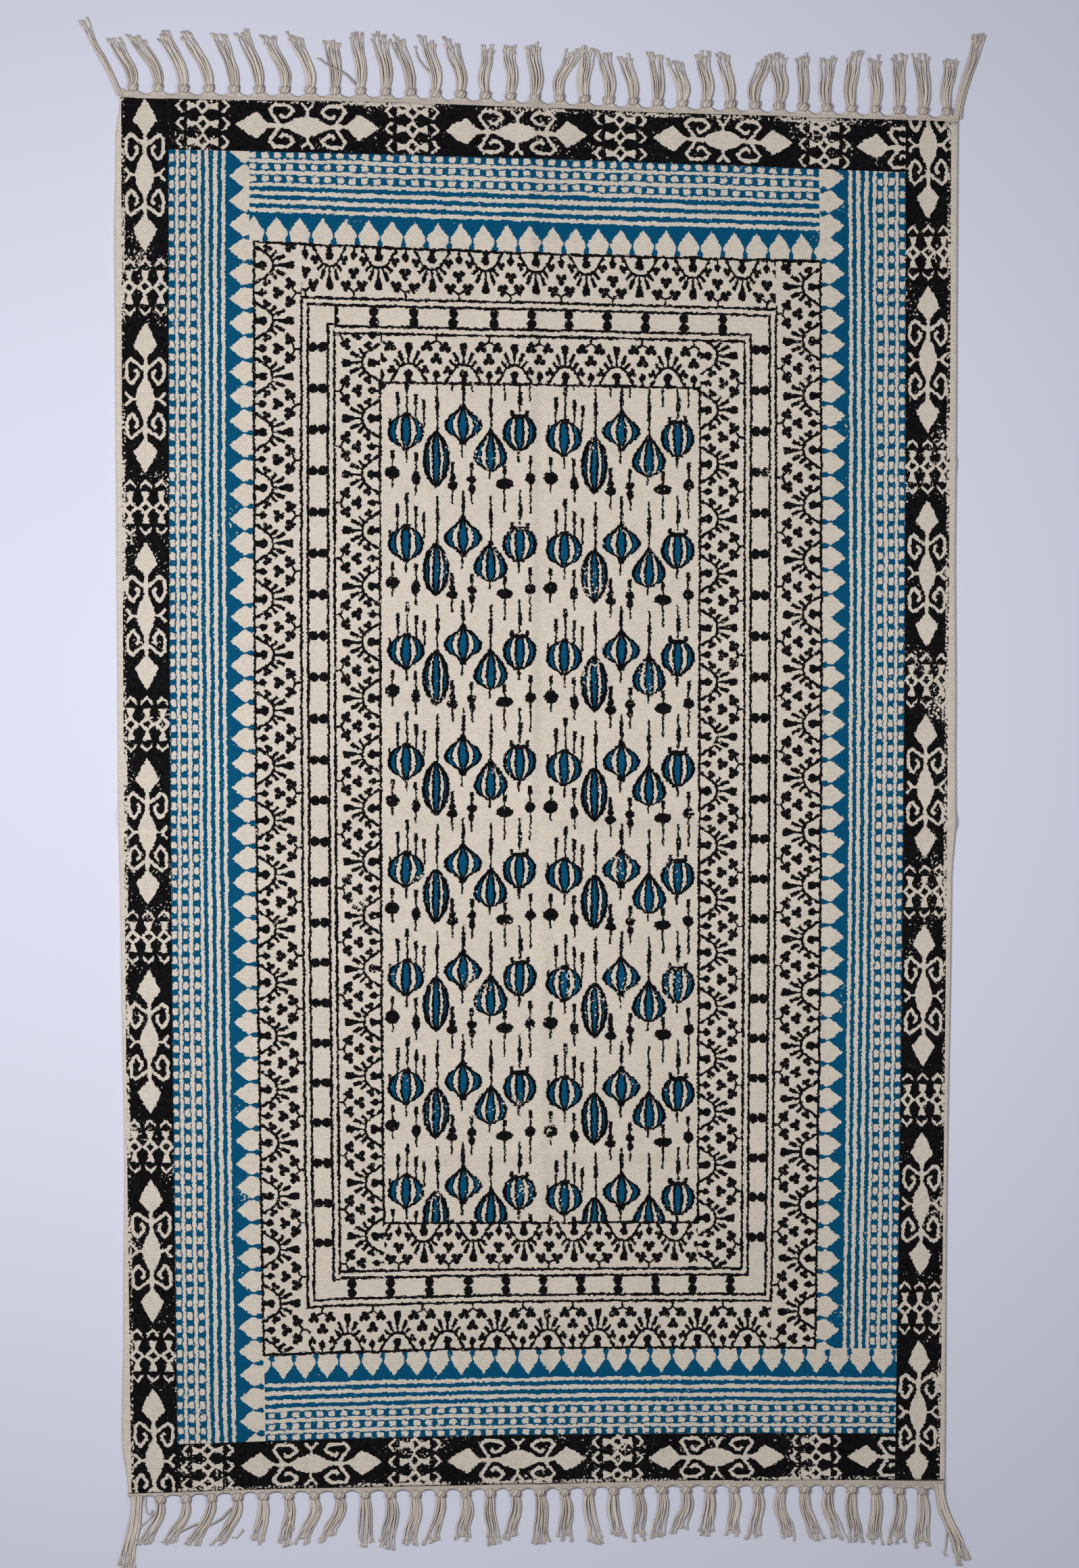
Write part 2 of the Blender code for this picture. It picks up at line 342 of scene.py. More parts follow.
# %% Shapes
def repeat(value, pitch, start=None):
    """The same place in every repeat: from `start`, or else half a pitch each way."""
    start = -pitch / 2 if start is None else start
    return reckon("WRAP", value, start + pitch, start)


def either(first, *others):
    """Ink where any of the shapes has it."""
    for other in others:
        first = reckon("MAXIMUM", first, other)
    return first


def between(value, middle, half):
    """One inside a strip of the given half width, nought outside it."""
    return reckon("COMPARE", value, middle, half)


def box(x, y, middle_x, middle_y, half_x, half_y):
    return between(x, middle_x, half_x) * between(y, middle_y, half_y)


def spot(x, y, middle_x, middle_y, radius_x, radius_y=None):
    """A filled circle or ellipse."""
    across = (x - middle_x) / radius_x
    along = (y - middle_y) / (radius_y or radius_x)
    return reckon("MULTIPLY_ADD", along, along, across * across) < 1


def bar(x, y, start, end, half):
    """A stroke from one point to another."""
    length = math.dist(start, end)
    cos, sin = (end[0] - start[0]) / length, (end[1] - start[1]) / length
    along = reckon("MULTIPLY_ADD", x, cos, reckon("MULTIPLY_ADD", y, sin, -start[0] * cos - start[1] * sin))
    aside = reckon("MULTIPLY_ADD", y, cos, reckon("MULTIPLY_ADD", x, -sin, start[0] * sin - start[1] * cos))
    return between(along, length / 2, length / 2) * between(aside, 0, half)


# A clover's lobes: places beside its middle and radius, as shares of its size
CLOVER_LOBES = [(0.0, 0.50), (0.54, -0.34), (-0.54, -0.34)]
CLOVER_LOBE_RADIUS = 0.56


def clover(x, y, middle_x, middle_y, size):
    """A three-lobed leaf, one lobe outwards and two inwards; on a mirror line two lobes are enough."""
    lobes = CLOVER_LOBES if middle_x else CLOVER_LOBES[:2]
    return either(*(spot(x, y, middle_x + dx * size, middle_y + dy * size, size * CLOVER_LOBE_RADIUS)
                    for dx, dy in lobes))


def outline(value, points, handles="AUTO"):
    """The half width of a carved shape at each place along it, from (place, half width) points."""
    low, high = points[0][0], points[-1][0]
    widest = max(width for place, width in points)
    tree = value.socket.id_data
    node = tree.nodes.new("ShaderNodeFloatCurve")
    curve = node.mapping.curves[0]
    spots = [((place - low) / (high - low), width / widest) for place, width in points]
    curve.points[0].location, curve.points[1].location = spots[0], spots[-1]
    for spot_here in spots[1:-1]:
        curve.points.new(*spot_here)
    for point in curve.points:
        point.handle_type = handles
    node.mapping.use_clip = True
    node.mapping.update()
    share = reckon("MULTIPLY_ADD", value, 1 / (high - low), -low / (high - low))
    tree.links.new(share.socket, node.inputs["Value"])
    return Number(node.outputs[0]) * widest * between(share, 0.5, 0.5)


# %% [markdown]
# Ink on a coarse weave never has a clean edge: each bead of weft takes the ink or misses it. Two
# helpers copy that. The first reads a band's own UV map, shakes it a little from bead to bead and
# lets it drift slowly, as a hand-held block does. The second turns the finished black and blue
# charts into dyed cotton, with dry specks, a ribbed weave with painted shade at the edges of its
# beads, and a matt finish.

# %% Weave and ink
BEAD = (2.9, 2.1)
BEAD_SHAKE = 1.6
HAND_DRIFT = 3.0
CREAM = (0.700, 0.625, 0.540, 1)
BLUE = (0.0008, 0.080, 0.178, 1)
BLACK = (0.0013, 0.0013, 0.0026, 1)
# Noises: width of the lumps in millimetres, seed, detail
DRIFT_NOISE = (24, 5.0, 3.0)
DRY_PATCHES = (46, 1.0, 3.0)
DRY_GRAIN = (3.0, 6.0, 2.0)
SLOW_TONE = (90, 2.0, 4.0)
# Factor and start: how a noise or a bead's roundness becomes dryness, tone, painted shade between the beads,
# or cover
DRYNESS = (0.8, -0.16)
BEAD_PAINTED_SHADE = (0.30, 0.82)
UNEVEN_TONE = (0.16, 0.92)
BLACK_COVER = (-0.02, 1.0)


def object_place(tree):
    """The point's place in metres."""
    return add_node(tree, "ShaderNodeTexCoord").outputs["Object"]


def noise(tree, size, seed, detail):
    """The outputs of a Noise node with lumps about `size` millimetres wide."""
    return add_node(tree, "ShaderNodeTexNoise", {"noise_dimensions": "4D"}, Vector=object_place(tree),
                    Scale=1 / (size * MM), Detail=detail, W=seed).outputs


def random_outputs(tree, first, second, seed):
    """The outputs of a White Noise node that is fed with two counts."""
    return add_node(tree, "ShaderNodeTexWhiteNoise", {"noise_dimensions": "3D"},
                    Vector=join(tree, first, second, seed)).outputs


def mixed(tree, under, over, amount):
    """One colour laid over another."""
    node = add_node(tree, "ShaderNodeMix", {"data_type": "RGBA"}, Factor=amount, A=under, B=over)
    return find_socket(node.outputs, "Result")


def bead_cells(tree):
    """The weft beads under a point: their two counts, and how far across each the point lies."""
    x, y, _ = (part * (1 / MM) for part in split(tree, object_place(tree)))
    row = y / BEAD[1]
    row_count = reckon("FLOOR", row)
    column = x / BEAD[0] + reckon("MODULO", row_count, 2.0) * 0.5
    column_count = reckon("FLOOR", column)
    return column_count, row_count, column - column_count, row - row_count


def make_shaken_place():
    """Node group: the band's own place along and across, uneven from bead to bead."""
    group, _, out = new_tree("Shaken place", "ShaderNodeTree", {},
                             {"Along": "Float", "Across": "Float", "End": "Float"})
    columns, rows, _, _ = bead_cells(group)
    shake = split(group, random_outputs(group, columns, rows, 3.0)["Color"])
    drift = split(group, noise(group, *DRIFT_NOISE)["Color"])
    for uv_name, names in (("print", ("Along", "Across")), ("ends", ("End",))):
        uv = add_node(group, "ShaderNodeUVMap", {"uv_map": uv_name}).outputs[0]
        for name, place, jolt, slide in zip(names, split(group, uv), shake, drift):
            shaken = place * (1 / MM) + (jolt - 0.5) * BEAD_SHAKE + (slide - 0.5) * HAND_DRIFT
            fill(out.inputs[name], shaken)
    return group


def make_inked_cotton():
    """Node group: cotton with two inks, from the charts' black and blue."""
    group, given, out = new_tree("Inked cotton", "ShaderNodeTree",
                                 {"Black": "Float", "Blue": "Float", "Dry": "Float"}, {"Surface": "Shader"})
    columns, rows, across, along = bead_cells(group)
    chance = Number(random_outputs(group, columns, rows, 11.0)["Value"])
    patch, grain, slow = (Number(noise(group, *kind)["Fac"]) for kind in (DRY_PATCHES, DRY_GRAIN, SLOW_TONE))
    inked = grain > reckon("MULTIPLY_ADD", patch, *DRYNESS) + given["Dry"]
    bump_x = across * 2.0 - 1.0
    bump_y = along * 2.0 - 1.0
    round_bead = (1.0 - bump_x * bump_x) * (1.0 - bump_y * bump_y)
    # Painted shade: each bead's top is painted lighter and its edges darker, times random tone from slow
    # patches and from bead to bead.
    painted_shade_and_tone = reckon("MULTIPLY_ADD", round_bead, *BEAD_PAINTED_SHADE) * reckon("MULTIPLY_ADD", slow, *UNEVEN_TONE)
    painted_shade_and_tone = painted_shade_and_tone * reckon("MULTIPLY_ADD", chance, *UNEVEN_TONE)
    cover = reckon("MULTIPLY_ADD", chance * (1.0 - round_bead), *BLACK_COVER)
    colour = mixed(group, CREAM, BLUE, given["Blue"] * inked)
    colour = mixed(group, colour, BLACK, given["Black"] * inked * cover)
    shaded_and_toned_colour = add_node(group, "ShaderNodeVectorMath", {"operation": "SCALE"}, Vector=colour, Scale=painted_shade_and_tone)
    bump = add_node(group, "ShaderNodeBump", Strength=0.8, Distance=0.5 * MM, Height=round_bead)
    shader = add_node(group, "ShaderNodeBsdfPrincipled", Roughness=0.92, Specular_IOR_Level=0.08,
                      Sheen_Weight=0.01, Sheen_Roughness=0.6, Base_Color=shaded_and_toned_colour.outputs[0],
                      Normal=bump.outputs[0])
    fill(out.inputs["Surface"], shader.outputs[0])
    return group


shaken_place = make_shaken_place()
inked_cotton = make_inked_cotton()
print("helpers:", shaken_place.name, "and", inked_cotton.name)


# %% [markdown]
# A chart starts as bare cloth. Each carved shape is then laid on it as black, blue or bare, in the
# order in which the printer would see them, the last on top.

# %% A chart
class Chart:
    """One band's print: a material that reads the band's place and lays inks by shape."""

    def __init__(self, name):
        self.material = bpy.data.materials.new(name)
        self.material.use_nodes = True
        self.tree = self.material.node_tree
        self.tree.nodes.clear()
        place = add_node(self.tree, "ShaderNodeGroup", {"node_tree": shaken_place})
        self.along, self.across, self.end = (Number(socket) for socket in place.outputs)
        bare = self.tree.nodes.new("ShaderNodeValue")
        bare.outputs[0].default_value = 0
        self.black = self.blue = Number(bare.outputs[0])
        self.dry = 0.0

    def lay(self, shape, black=0.0, blue=0.0):
        """Inside the shape, lay each ink that is given, and take off the one that is nought."""
        for name, ink in (("black", black), ("blue", blue)):
            before = getattr(self, name)
            if ink == 0.0:
                after = before * (1.0 - shape)
            elif isinstance(ink, Number):
                after = reckon("MULTIPLY_ADD", shape, ink - before, before)
            else:
                after = reckon("MAXIMUM", before, shape)
            setattr(self, name, after)

    def ink(self, *shapes):
        """Lay black ink inside each shape in turn."""
        for shape in shapes:
            self.lay(shape, black=1.0)

    def finish(self):
        """Join the inks to the cotton and give back the material."""
        cotton = add_node(self.tree, "ShaderNodeGroup", {"node_tree": inked_cotton},
                          Black=self.black, Blue=self.blue, Dry=self.dry)
        add_node(self.tree, "ShaderNodeOutputMaterial", Surface=cotton.outputs[0])
        print(self.material.name, "uses", len(self.tree.nodes), "nodes")
        return self.material


# %% [markdown]
# The black strip is printed solid, and its pattern is the bare cloth that the block leaves: a long
# figure of a kite, two scrolls, a middle diamond with forked twigs, and the same again mirrored,
# then a lattice of three small diamonds. One quarter is drawn, and `abs` mirrors it.

# %% The black strip
STRIP_WIDTH = 51
STRIP_PITCH = 232
# Half width of the long figure at each place along it, then a scroll's corners, across and along
FIGURE = [(0, 10.4), (7.8, 8.8), (14.8, 6.2), (20.5, 2.8), (26, 1.7), (31, 2.8), (35, 3.0), (38, 1.8),
          (43, 2.0), (46, 4.2), (56, 13.0), (67, 8.0), (79, 0.4)]
SCROLL = [(2.5, 32.0), (15.4, 42.0), (20.2, 37.5), (20.4, 24.0), (17.6, 18.4), (14.2, 15.8), (8.4, 23.5),
          (8.4, 27.5), (11.6, 30.4)]
SCROLL_HALF = 1.75
TWIG_FORK = (15.6, 0.3)
TWIG_TIP = (21.8, 6.9)
TWIG_HALF = 1.5
LATTICE_STEP = 17.2
LATTICE_HALF = 9.4
LATTICE_SLOPE = 1.05
HOLE_HALF = 4.5
# The stem between two diamonds: its middle and half length, then how its half width grows
STEM = (12.4, 4.6)
STEM_FLARE = (0.30, -0.6)
# The bent line round a small diamond: how far off it lies, its half width and its reach
BENT_LINE = (28.4, 1.9)
BENT_REACH = 6.2
LATTICE_LENGTH = 40.0
# Dryness: what the lattice adds, what all of the strip has, and what the rug's rim adds
STRIP_DRYNESS = (0.05, 0.03)
RIM_DRYNESS = 0.2
DRY_RIM = 3.6
EVERYWHERE = -99.0


def black_strip():
    chart = Chart("printed black strip")
    along = abs(repeat(chart.along, STRIP_PITCH))
    across = abs(chart.across - STRIP_WIDTH / 2)
    chart.ink(chart.across > EVERYWHERE)
    chart.lay(across < outline(along, FIGURE, "VECTOR"))
    for start, end in zip(SCROLL, SCROLL[1:]):
        chart.lay(bar(across, along, start, end, SCROLL_HALF))
    for corner in SCROLL[1:-1]:
        chart.lay(spot(across, along, *corner, SCROLL_HALF))
    chart.lay(box(across, along, TWIG_FORK[0] / 2, 0, TWIG_FORK[0] / 2 + 1, TWIG_HALF))
    chart.lay(bar(across, along, TWIG_FORK, TWIG_TIP, TWIG_HALF))
    away = STRIP_PITCH / 2 - along
    step = abs(repeat(chart.across - STRIP_WIDTH / 2, LATTICE_STEP))
    inside = across < LATTICE_STEP * 1.5
    chart.lay((step * LATTICE_SLOPE + away < LATTICE_HALF) * inside)
    chart.ink((step + away < HOLE_HALF) * inside)
    chart.lay((step < reckon("MULTIPLY_ADD", away, *STEM_FLARE)) * between(away, *STEM) * inside)
    chart.lay(between(step + away, *BENT_LINE) * (step < BENT_REACH) * inside)
    chart.dry = reckon("MULTIPLY_ADD", away < LATTICE_LENGTH, *STRIP_DRYNESS)
    chart.dry = chart.dry + (chart.across < DRY_RIM) * RIM_DRYNESS
    return chart.finish()


# %% [markdown]
# The blue band, from its outer side inwards: three strips of small bare squares with thin lines
# between them, three plain lines, then a solid edge cut into teeth with a drop on each tip.

# %% The blue band
BAND_WIDTH = 93
LINE_HALF = 1.5
SQUARE_PITCH = 14.2
SQUARE_STRIPS = (3.5, 15.2, 27.5)
SQUARE_STRIP_HALF = 4.1
# A square's half width and half length, and how far its cut corners reach
SQUARE = (2.7, 4.0, 5.6)
PLAIN_LINES = (37.5, 46.4, 55.4)
PLAIN_LINE_HALF = 2.3
TOOTH_PITCH = 26.2
SOLID_FROM = 61.6
TOOTH_ROOT = 66.0
TOOTH_TIP = 82.2
DROP = [(80, 2.4), (82.5, 1.0), (84.5, 1.3), (87, 2.6), (89.4, 3.2), (91.6, 2.7), (92.4, 0.6)]
MISSED_DROPS = 0.05


def blue_band():
    chart = Chart("printed blue band")
    across, along = chart.across, chart.along
    from_square = abs(repeat(along, SQUARE_PITCH))
    for middle in SQUARE_STRIPS:
        aside = abs(across - middle)
        chart.lay(aside < SQUARE_STRIP_HALF, blue=1.0)
        chart.lay((aside < SQUARE[0]) * (from_square < SQUARE[1]) * (aside + from_square < SQUARE[2]))
    for middle in PLAIN_LINES:
        chart.lay(between(across, middle, PLAIN_LINE_HALF), blue=1.0)
    tooth = abs(repeat(along, TOOTH_PITCH))
    slope = (TOOTH_TIP - TOOTH_ROOT) * 2 / TOOTH_PITCH
    edge = reckon("MULTIPLY_ADD", tooth, -slope, TOOTH_TIP)
    chart.lay((across < edge) * (across > SOLID_FROM), blue=1.0)
    count = reckon("ROUND", along / TOOTH_PITCH)
    there = Number(random_outputs(chart.tree, count, count, 2.0)["Value"]) > MISSED_DROPS
    chart.lay((tooth < outline(across, DROP)) * there, blue=1.0)
    chart.ink((across > BAND_WIDTH - LINE_HALF) * (chart.end > -LINE_HALF))
    return chart.finish()


# %% [markdown]
# The flower ring repeats one sprig on the frame line: a bud under an arch, five petals above it
# and a clover on each foot, with a leaf and three clovers between one sprig and the next. The
# inner ring is the same block turned round, so both read their place from their own ground line.

# %% The flower rings
RING_WIDTH = 50
SPRIG_PITCH = 58.8
ARCH = [(0, 19.6), (5.9, 18.6), (9.8, 15.6), (13.2, 11.0), (15.8, 6.6), (18.4, 3.2), (21.0, 0.6)]
MIDDLE_PETAL = [(20.6, 1.2), (26, 1.5), (32, 2.8), (36.5, 4.3), (39.8, 4.4), (42, 2.2)]
BUD = [(0, 4.4), (3.2, 3.2), (5.2, 3.0), (7.2, 4.2), (9.6, 5.0), (12, 4.2), (14, 0.6)]
LEAF = [(0, 1.8), (3.6, 1.4), (5.6, 2.4), (8.2, 4.1), (11, 3.0), (14, 0.4)]
ARCH_HALF = (0.10, 1.25)
ARCH_END = 20.6
# Bars from one point to another, aside and outwards, with their half widths; clovers with their size
PETALS = [((4.6, 19.0), (7.0, 24.6), 1.1), ((6.4, 23.4), (10.6, 32.6), 2.3), ((8.2, 17.2), (15.0, 24.0), 1.9)]
FOOT_CLOVER = (17.6, 13.6, 4.7)
GAP_CLOVERS = [(0, 25.6, 6.0), (9.8, 37.8, 5.9)]
GAP_STEM = (0, 46.5, 1.3, 3.8)
GAP_TWIG = ((0.0, 43.4), (7.0, 39.6), 1.3)


def flower_ring(name, inner):
    """Each ring's line towards the rug's middle stops at the corners, and its other line runs on."""
    chart = Chart(name)
    out = chart.across
    side = abs(repeat(chart.along, SPRIG_PITCH))
    past_corner = chart.end > RING_WIDTH - LINE_HALF
    ground, far = out < LINE_HALF, out > RING_WIDTH - LINE_HALF
    chart.ink(ground * past_corner if inner else ground, far if inner else far * past_corner)
    chart.ink(side < outline(out, BUD))
    thickness = reckon("MULTIPLY_ADD", side, *ARCH_HALF)
    chart.ink(between(out, outline(side, ARCH), thickness) * (side < ARCH_END))
    chart.ink(side < outline(out, MIDDLE_PETAL), *(bar(side, out, *petal) for petal in PETALS))
    chart.ink(clover(side, out, *FOOT_CLOVER))
    gap = SPRIG_PITCH / 2 - side
    chart.ink(gap < outline(out, LEAF), *(clover(gap, out, *leaves) for leaves in GAP_CLOVERS))
    chart.ink(box(gap, out, *GAP_STEM), bar(gap, out, *GAP_TWIG), chart.end < LINE_HALF)
    return chart.finish()


# %% [markdown]
# The ladder has a double line at each side and a rung of two beads at every step.

# %% The ladder
LADDER_WIDTH = 35.4
RUNG_PITCH = 44
LADDER_LINES = (0, 7.1, 28.4, 35.4)
# Middle and radius of each of the rung's beads, then the middle and half sizes of its bar
RUNG_BEADS = [(12.8, 5.3), (22.9, 5.4)]
RUNG_BAR = (17.8, 0, 10.4, 1.9)
RUNG_CLEARANCE = 4.0


def ladder():
    chart = Chart("printed ladder")
    across = chart.across
    rung = repeat(chart.along, RUNG_PITCH)
    rungs = either(*(spot(across, rung, middle, 0, radius) for middle, radius in RUNG_BEADS),
                   box(across, rung, *RUNG_BAR))
    chart.ink(rungs * (chart.end > LADDER_WIDTH - RUNG_CLEARANCE))
    for line in LADDER_LINES:
        chart.ink(between(across, line, LINE_HALF) * (chart.end > line - LINE_HALF),
                  between(chart.end, line, LINE_HALF) * (across > line - LINE_HALF))
    return chart.finish()


# %% [markdown]
# The field block holds five hanging lanterns and, below and between them, six threads with eight beads.
# A lantern is an outline turned on its side: the half width at each height. Dividing a point's
# distance from the middle by that half width gives the same stripes in every lantern.

# %% The field
BLOCK_WIDTH = 173
BLOCK_HEIGHT = 118.6
LANTERNS = [
    (0, [(-21, 1.4), (-18, 6), (-15, 12), (-10, 17), (-4, 19.6), (2, 20), (8, 17.5), (13, 12), (17, 5.5),
         (19.5, 3)]),
    (33, [(-1.5, 2), (4, 7), (12, 11.8), (28, 14.9), (44, 12), (52, 7), (57, 3)]),
    (62.5, [(-31, 1.6), (-25, 5.5), (-20, 11), (-14, 18), (-7.4, 21), (-1, 18.4), (4.5, 11), (9.5, 5),
            (14, 3.4)]),
    (92.7, [(-5, 1.2), (0, 4), (6, 9), (14, 14.5), (22, 18), (27, 18.6), (33, 16), (38, 9), (41, 4)]),
    (124.3, [(-18.5, 4), (-16, 10), (-12, 14.5), (-6, 17.6), (0, 18.6), (6, 17.6), (12, 14), (16, 9.5),
             (19.5, 3.5)]),
]
# Columns: place across, top, bottom and half width of each black stroke over or under a lantern
STROKES = [
    (-8.8, -43.4, -29.4, 2.1), (-8.8, -30, -16, 1.2), (1.4, -55, -45, 2.2), (1.4, -46, -18, 1.2),
    (11, -41, -29.4, 2.1), (11, -30, -13, 1.2), (19.9, -35, -23.5, 1.9), (19.9, -24, -6, 1.2),
    (-17.6, -15, -4, 1.25), (0.6, 18, 32, 1.2), (34.4, -52, 0, 1.25), (34.4, -37, -23, 2.2),
    (32.6, 56, 58.5, 1.6), (62.6, -58, -30, 1.2), (62.6, -51, -34, 2.1), (61.5, 13, 27, 1.2),
    (93, -52, -3, 1.25), (93, -36, -18, 2.1), (91.5, 39, 50, 1.2), (124.5, -58, -21, 1.25),
    (125, -43, -29, 2.4), (123.5, 19, 32, 1.2), (124.3, -19.5, -14, 9.6), (123.3, 17, 20.2, 6.2),
    (115.8, -23.5, -17, 2.1), (133, -23.5, -17, 2.1), (123.5, 21, 26, 1.8), (1.4, -21, -15.5, 4.0),
]
# Columns: place across, height, the two radii, and top and bottom of the thread
BEADS = [
    (-14.7, 42, 8, 7, 19, 58), (11, 47.8, 4.9, 7.7, 21, 67), (50.7, 56, 6.2, 4.8, 31, 75),
    (50.7, 48.4, 3.8, 3.8, 40, 50), (72, 50, 5.3, 4.6, 32, 76), (72, 59.6, 3.8, 5.2, 50, 60),
    (108, 54.4, 9.6, 5.8, 35, 85), (136, 49.3, 6, 6.1, 25, 86),
]
MIDDLE_STRIPE = 0.235
SIDE_STRIPE = 0.58
FIELD_DRYNESS = 0.045
OUTLINE_THICKNESS = 4.0
NECK = 4.6
BLOCK_LEFT = -23
BLOCK_TOP = -60
BEADS_TOP = 10
MIDDLE_LINE_HALF = 1.4
SIDE_LINE_HALF = 1.1
THREAD_HALF = 1.15
# Half width and half length of the thick top of each thread
BEAD_CAP = (2.2, 4.5)
THINNEST = 0.01


def upright_box(x, y, middle_x, top, bottom, half_x):
    """A box that stands between two heights."""
    return box(x, y, middle_x, (top + bottom) / 2, half_x, (bottom - top) / 2)


def field():
    chart = Chart("printed field")
    chart.dry = FIELD_DRYNESS
    across = repeat(chart.along, BLOCK_WIDTH, BLOCK_LEFT)
    down = repeat(chart.across, BLOCK_HEIGHT, BLOCK_TOP)
    for place, points in LANTERNS:
        aside = abs(across - place)
        half = outline(down, points)
        share = aside / reckon("MAXIMUM", half, THINNEST)
        blue = either(share < MIDDLE_STRIPE, share > SIDE_STRIPE)
        black = either(between(aside, half * MIDDLE_STRIPE, MIDDLE_LINE_HALF),
                       between(aside, half * SIDE_STRIPE, SIDE_LINE_HALF),
                       half - aside < OUTLINE_THICKNESS, half < NECK)
        chart.lay(aside < half, black=black, blue=blue)
    chart.ink(*(upright_box(across, down, *stroke) for stroke in STROKES))
    lower = repeat(chart.across, BLOCK_HEIGHT, BEADS_TOP)
    for place, height, radius_x, radius_y, top, bottom in BEADS:
        chart.ink(spot(across, lower, place, height, radius_x, radius_y),
                  upright_box(across, lower, place, top, bottom, THREAD_HALF),
                  box(across, lower, place, top + BEAD_CAP[1], *BEAD_CAP))
    chart.ink(chart.end < LINE_HALF)
    return chart.finish()


BAND_NAMES = ("edge", "black", "blue", "flowers", "ladder", "posies", "field")
materials = {
    "edge": Chart("plain cream edge").finish(),
    "black": black_strip(),
    "blue": blue_band(),
    "flowers": flower_ring("printed outer flower ring", inner=False),
    "ladder": ladder(),
    "field": field(),
    "posies": flower_ring("printed inner flower ring", inner=True),
}

# %% [markdown]
# The blocks are stamped by eye, so their steps are uneven. For each band, a short table says where
# some counted figures lie; between them the count runs evenly. The count times the block's own
# step is the place along that the charts read.

# %% Where the blocks fall
# For each band and side: (millimetres from the cloth's middle, number of the figure there)
COUNTS = {
    ("black", "left"): [(-721, 0), (-38, 3), (433, 5), (677, 6)],
    ("black", "right"): [(-668, 0), (11, 3), (709, 6)],
    ("black", "top"): [(-250, 0), (-22, 1), (202, 2), (422, 3)],
    ("black", "bottom"): [(-246, 0), (-21, 1), (195, 2), (410, 3)],
    ("blue", "left"): [(-564, 0), (-105, 18), (50, 24), (689, 48)],
    ("blue", "right"): [(-591, 0), (-139, 18), (15, 24), (635, 48)],
    ("blue", "top"): [(-296, 0), (4, 12), (300, 24)],
    ("blue", "bottom"): [(-289, 0), (2, 12), (291, 24)],
    ("flowers", "left"): [(-550, 0), (-143, 7), (34, 10), (579, 19)],
    ("flowers", "right"): [(-501, 0), (-154, 6), (21, 9), (496, 17)],
    ("flowers", "top"): [(-226, 0), (-173, 1), (-56, 3), (53, 5), (169, 7), (276, 9)],
    ("flowers", "bottom"): [(-261, 0), (283, 10)],
    ("posies", "left"): [(-477, 0), (-128, 6), (47, 9), (412, 15)],
    ("posies", "right"): [(-457, 0), (-111, 6), (7, 8), (421, 15)],
    ("posies", "top"): [(-140, 0), (-80, 1), (30, 3), (198, 6)],
    ("posies", "bottom"): [(-178, 0), (203, 7)],
    ("ladder", "left"): [(-528, 0), (-136, 9), (41, 13), (490, 23)],
    ("ladder", "right"): [(-478, 0), (-132, 8), (42, 12), (487, 22)],
    ("ladder", "top"): [(-221, 0), (-91, 3), (-47, 4), (34, 6), (243, 11)],
    ("ladder", "bottom"): [(-202, 0), (-75, 3), (47, 6), (250, 11)],
}
# Each block's step and width
BLOCKS = {"black": (STRIP_PITCH, STRIP_WIDTH), "blue": (TOOTH_PITCH, BAND_WIDTH),
          "flowers": (SPRIG_PITCH, RING_WIDTH), "posies": (SPRIG_PITCH, RING_WIDTH),
          "ladder": (RUNG_PITCH, LADDER_WIDTH)}
FIELD_COLUMNS = [(-143, 0), (29, 1)]
FIELD_ROWS = [(397, 0), (275, 1), (159, 2), (38, 3), (-79, 4), (-196, 5), (-316, 6), (-429, 7)]
SLIVER_FROM = 0.93
RIGHT_BLOCKS_LOWER = 6.6
BLOCK_SEAM = 5
FAR_FROM_END = 99


def count_at(table, place):
    """The figure's number at a place, running on evenly past both ends of the table."""
    table = sorted(table)
    pairs = list(zip(table, table[1:]))
    (low, first), (high, second) = next((pair for pair in pairs if place <= pair[1][0]), pairs[-1])
    return first + (second - first) * (place - low) / (high - low)


def band_of(column, row, share):
    """The band and side of a grid cell. The uprights own the corners, but for the blue one at the
    lower right and a sliver at the upper left."""
    from_left, from_right = column, len(UPRIGHT_ORDER) - 2 - column
    from_bottom, from_top = row, len(LEVEL_ORDER) - 2 - row
    ring = min(from_left, from_right, from_bottom, from_top)
    name = BAND_NAMES[ring]
    lower_right = from_right == ring and from_bottom == ring
    sliver = from_left == ring and from_top == ring and share > SLIVER_FROM
    if ring in (from_left, from_right) and not (name == "blue" and (lower_right or sliver)):
        return name, "left" if ring == from_left else "right"
    return name, "bottom" if ring == from_bottom else "top"


def from_sides(left, right, x, y):
    """The way to the nearer of two upright lines."""
    return min(x - upright_x(left, y), upright_x(right, y) - x)


def from_ends(bottom, top, x, y):
    """The way to the nearer of two level lines."""
    return min(y - level_y(bottom, x), level_y(top, x) - y)


def printed_place(name, side, x, y, share_x, share_y):
    """For one corner of a face: place along the band and across it, and the way to its end."""
    if name == "edge":
        return 0, 0, FAR_FROM_END
    if name == "field":
        lower = RIGHT_BLOCKS_LOWER if x > BLOCK_SEAM else 0
        end = min(from_sides("field left", "field right", x, y), from_ends("field bottom", "field top", x, y))
        return count_at(FIELD_COLUMNS, x) * BLOCK_WIDTH, count_at(FIELD_ROWS, y + lower) * BLOCK_HEIGHT, end
    upright = side in ("left", "right")
    count = count_at(COUNTS[name, side], y if upright else x)
    share = share_x if upright else share_y
    if (side in ("right", "top")) != (name == "posies"):
        share = 1 - share
    end = FAR_FROM_END
    if name == "blue" and not upright:
        end = from_sides("flowers left", "flowers right", x, y)
    elif name == "blue" or upright and name != "black":
        ring = BAND_NAMES.index("flowers" if name == "blue" else name)
        end = from_ends(LEVEL_ORDER[ring], LEVEL_ORDER[-1 - ring], x, y)
    step, width = BLOCKS[name]
    return count * step, share * width, end


print("bands:", BAND_NAMES)

# %% [markdown]
# Now the sheet itself: an upper and a lower skin over the grid, joined at the rim. Corded
# selvedges, creases and a slow, shallow unevenness give the light something to play on.

# %% The printed cloth
RIPPLE = 0.35
CALM_RIM = 20
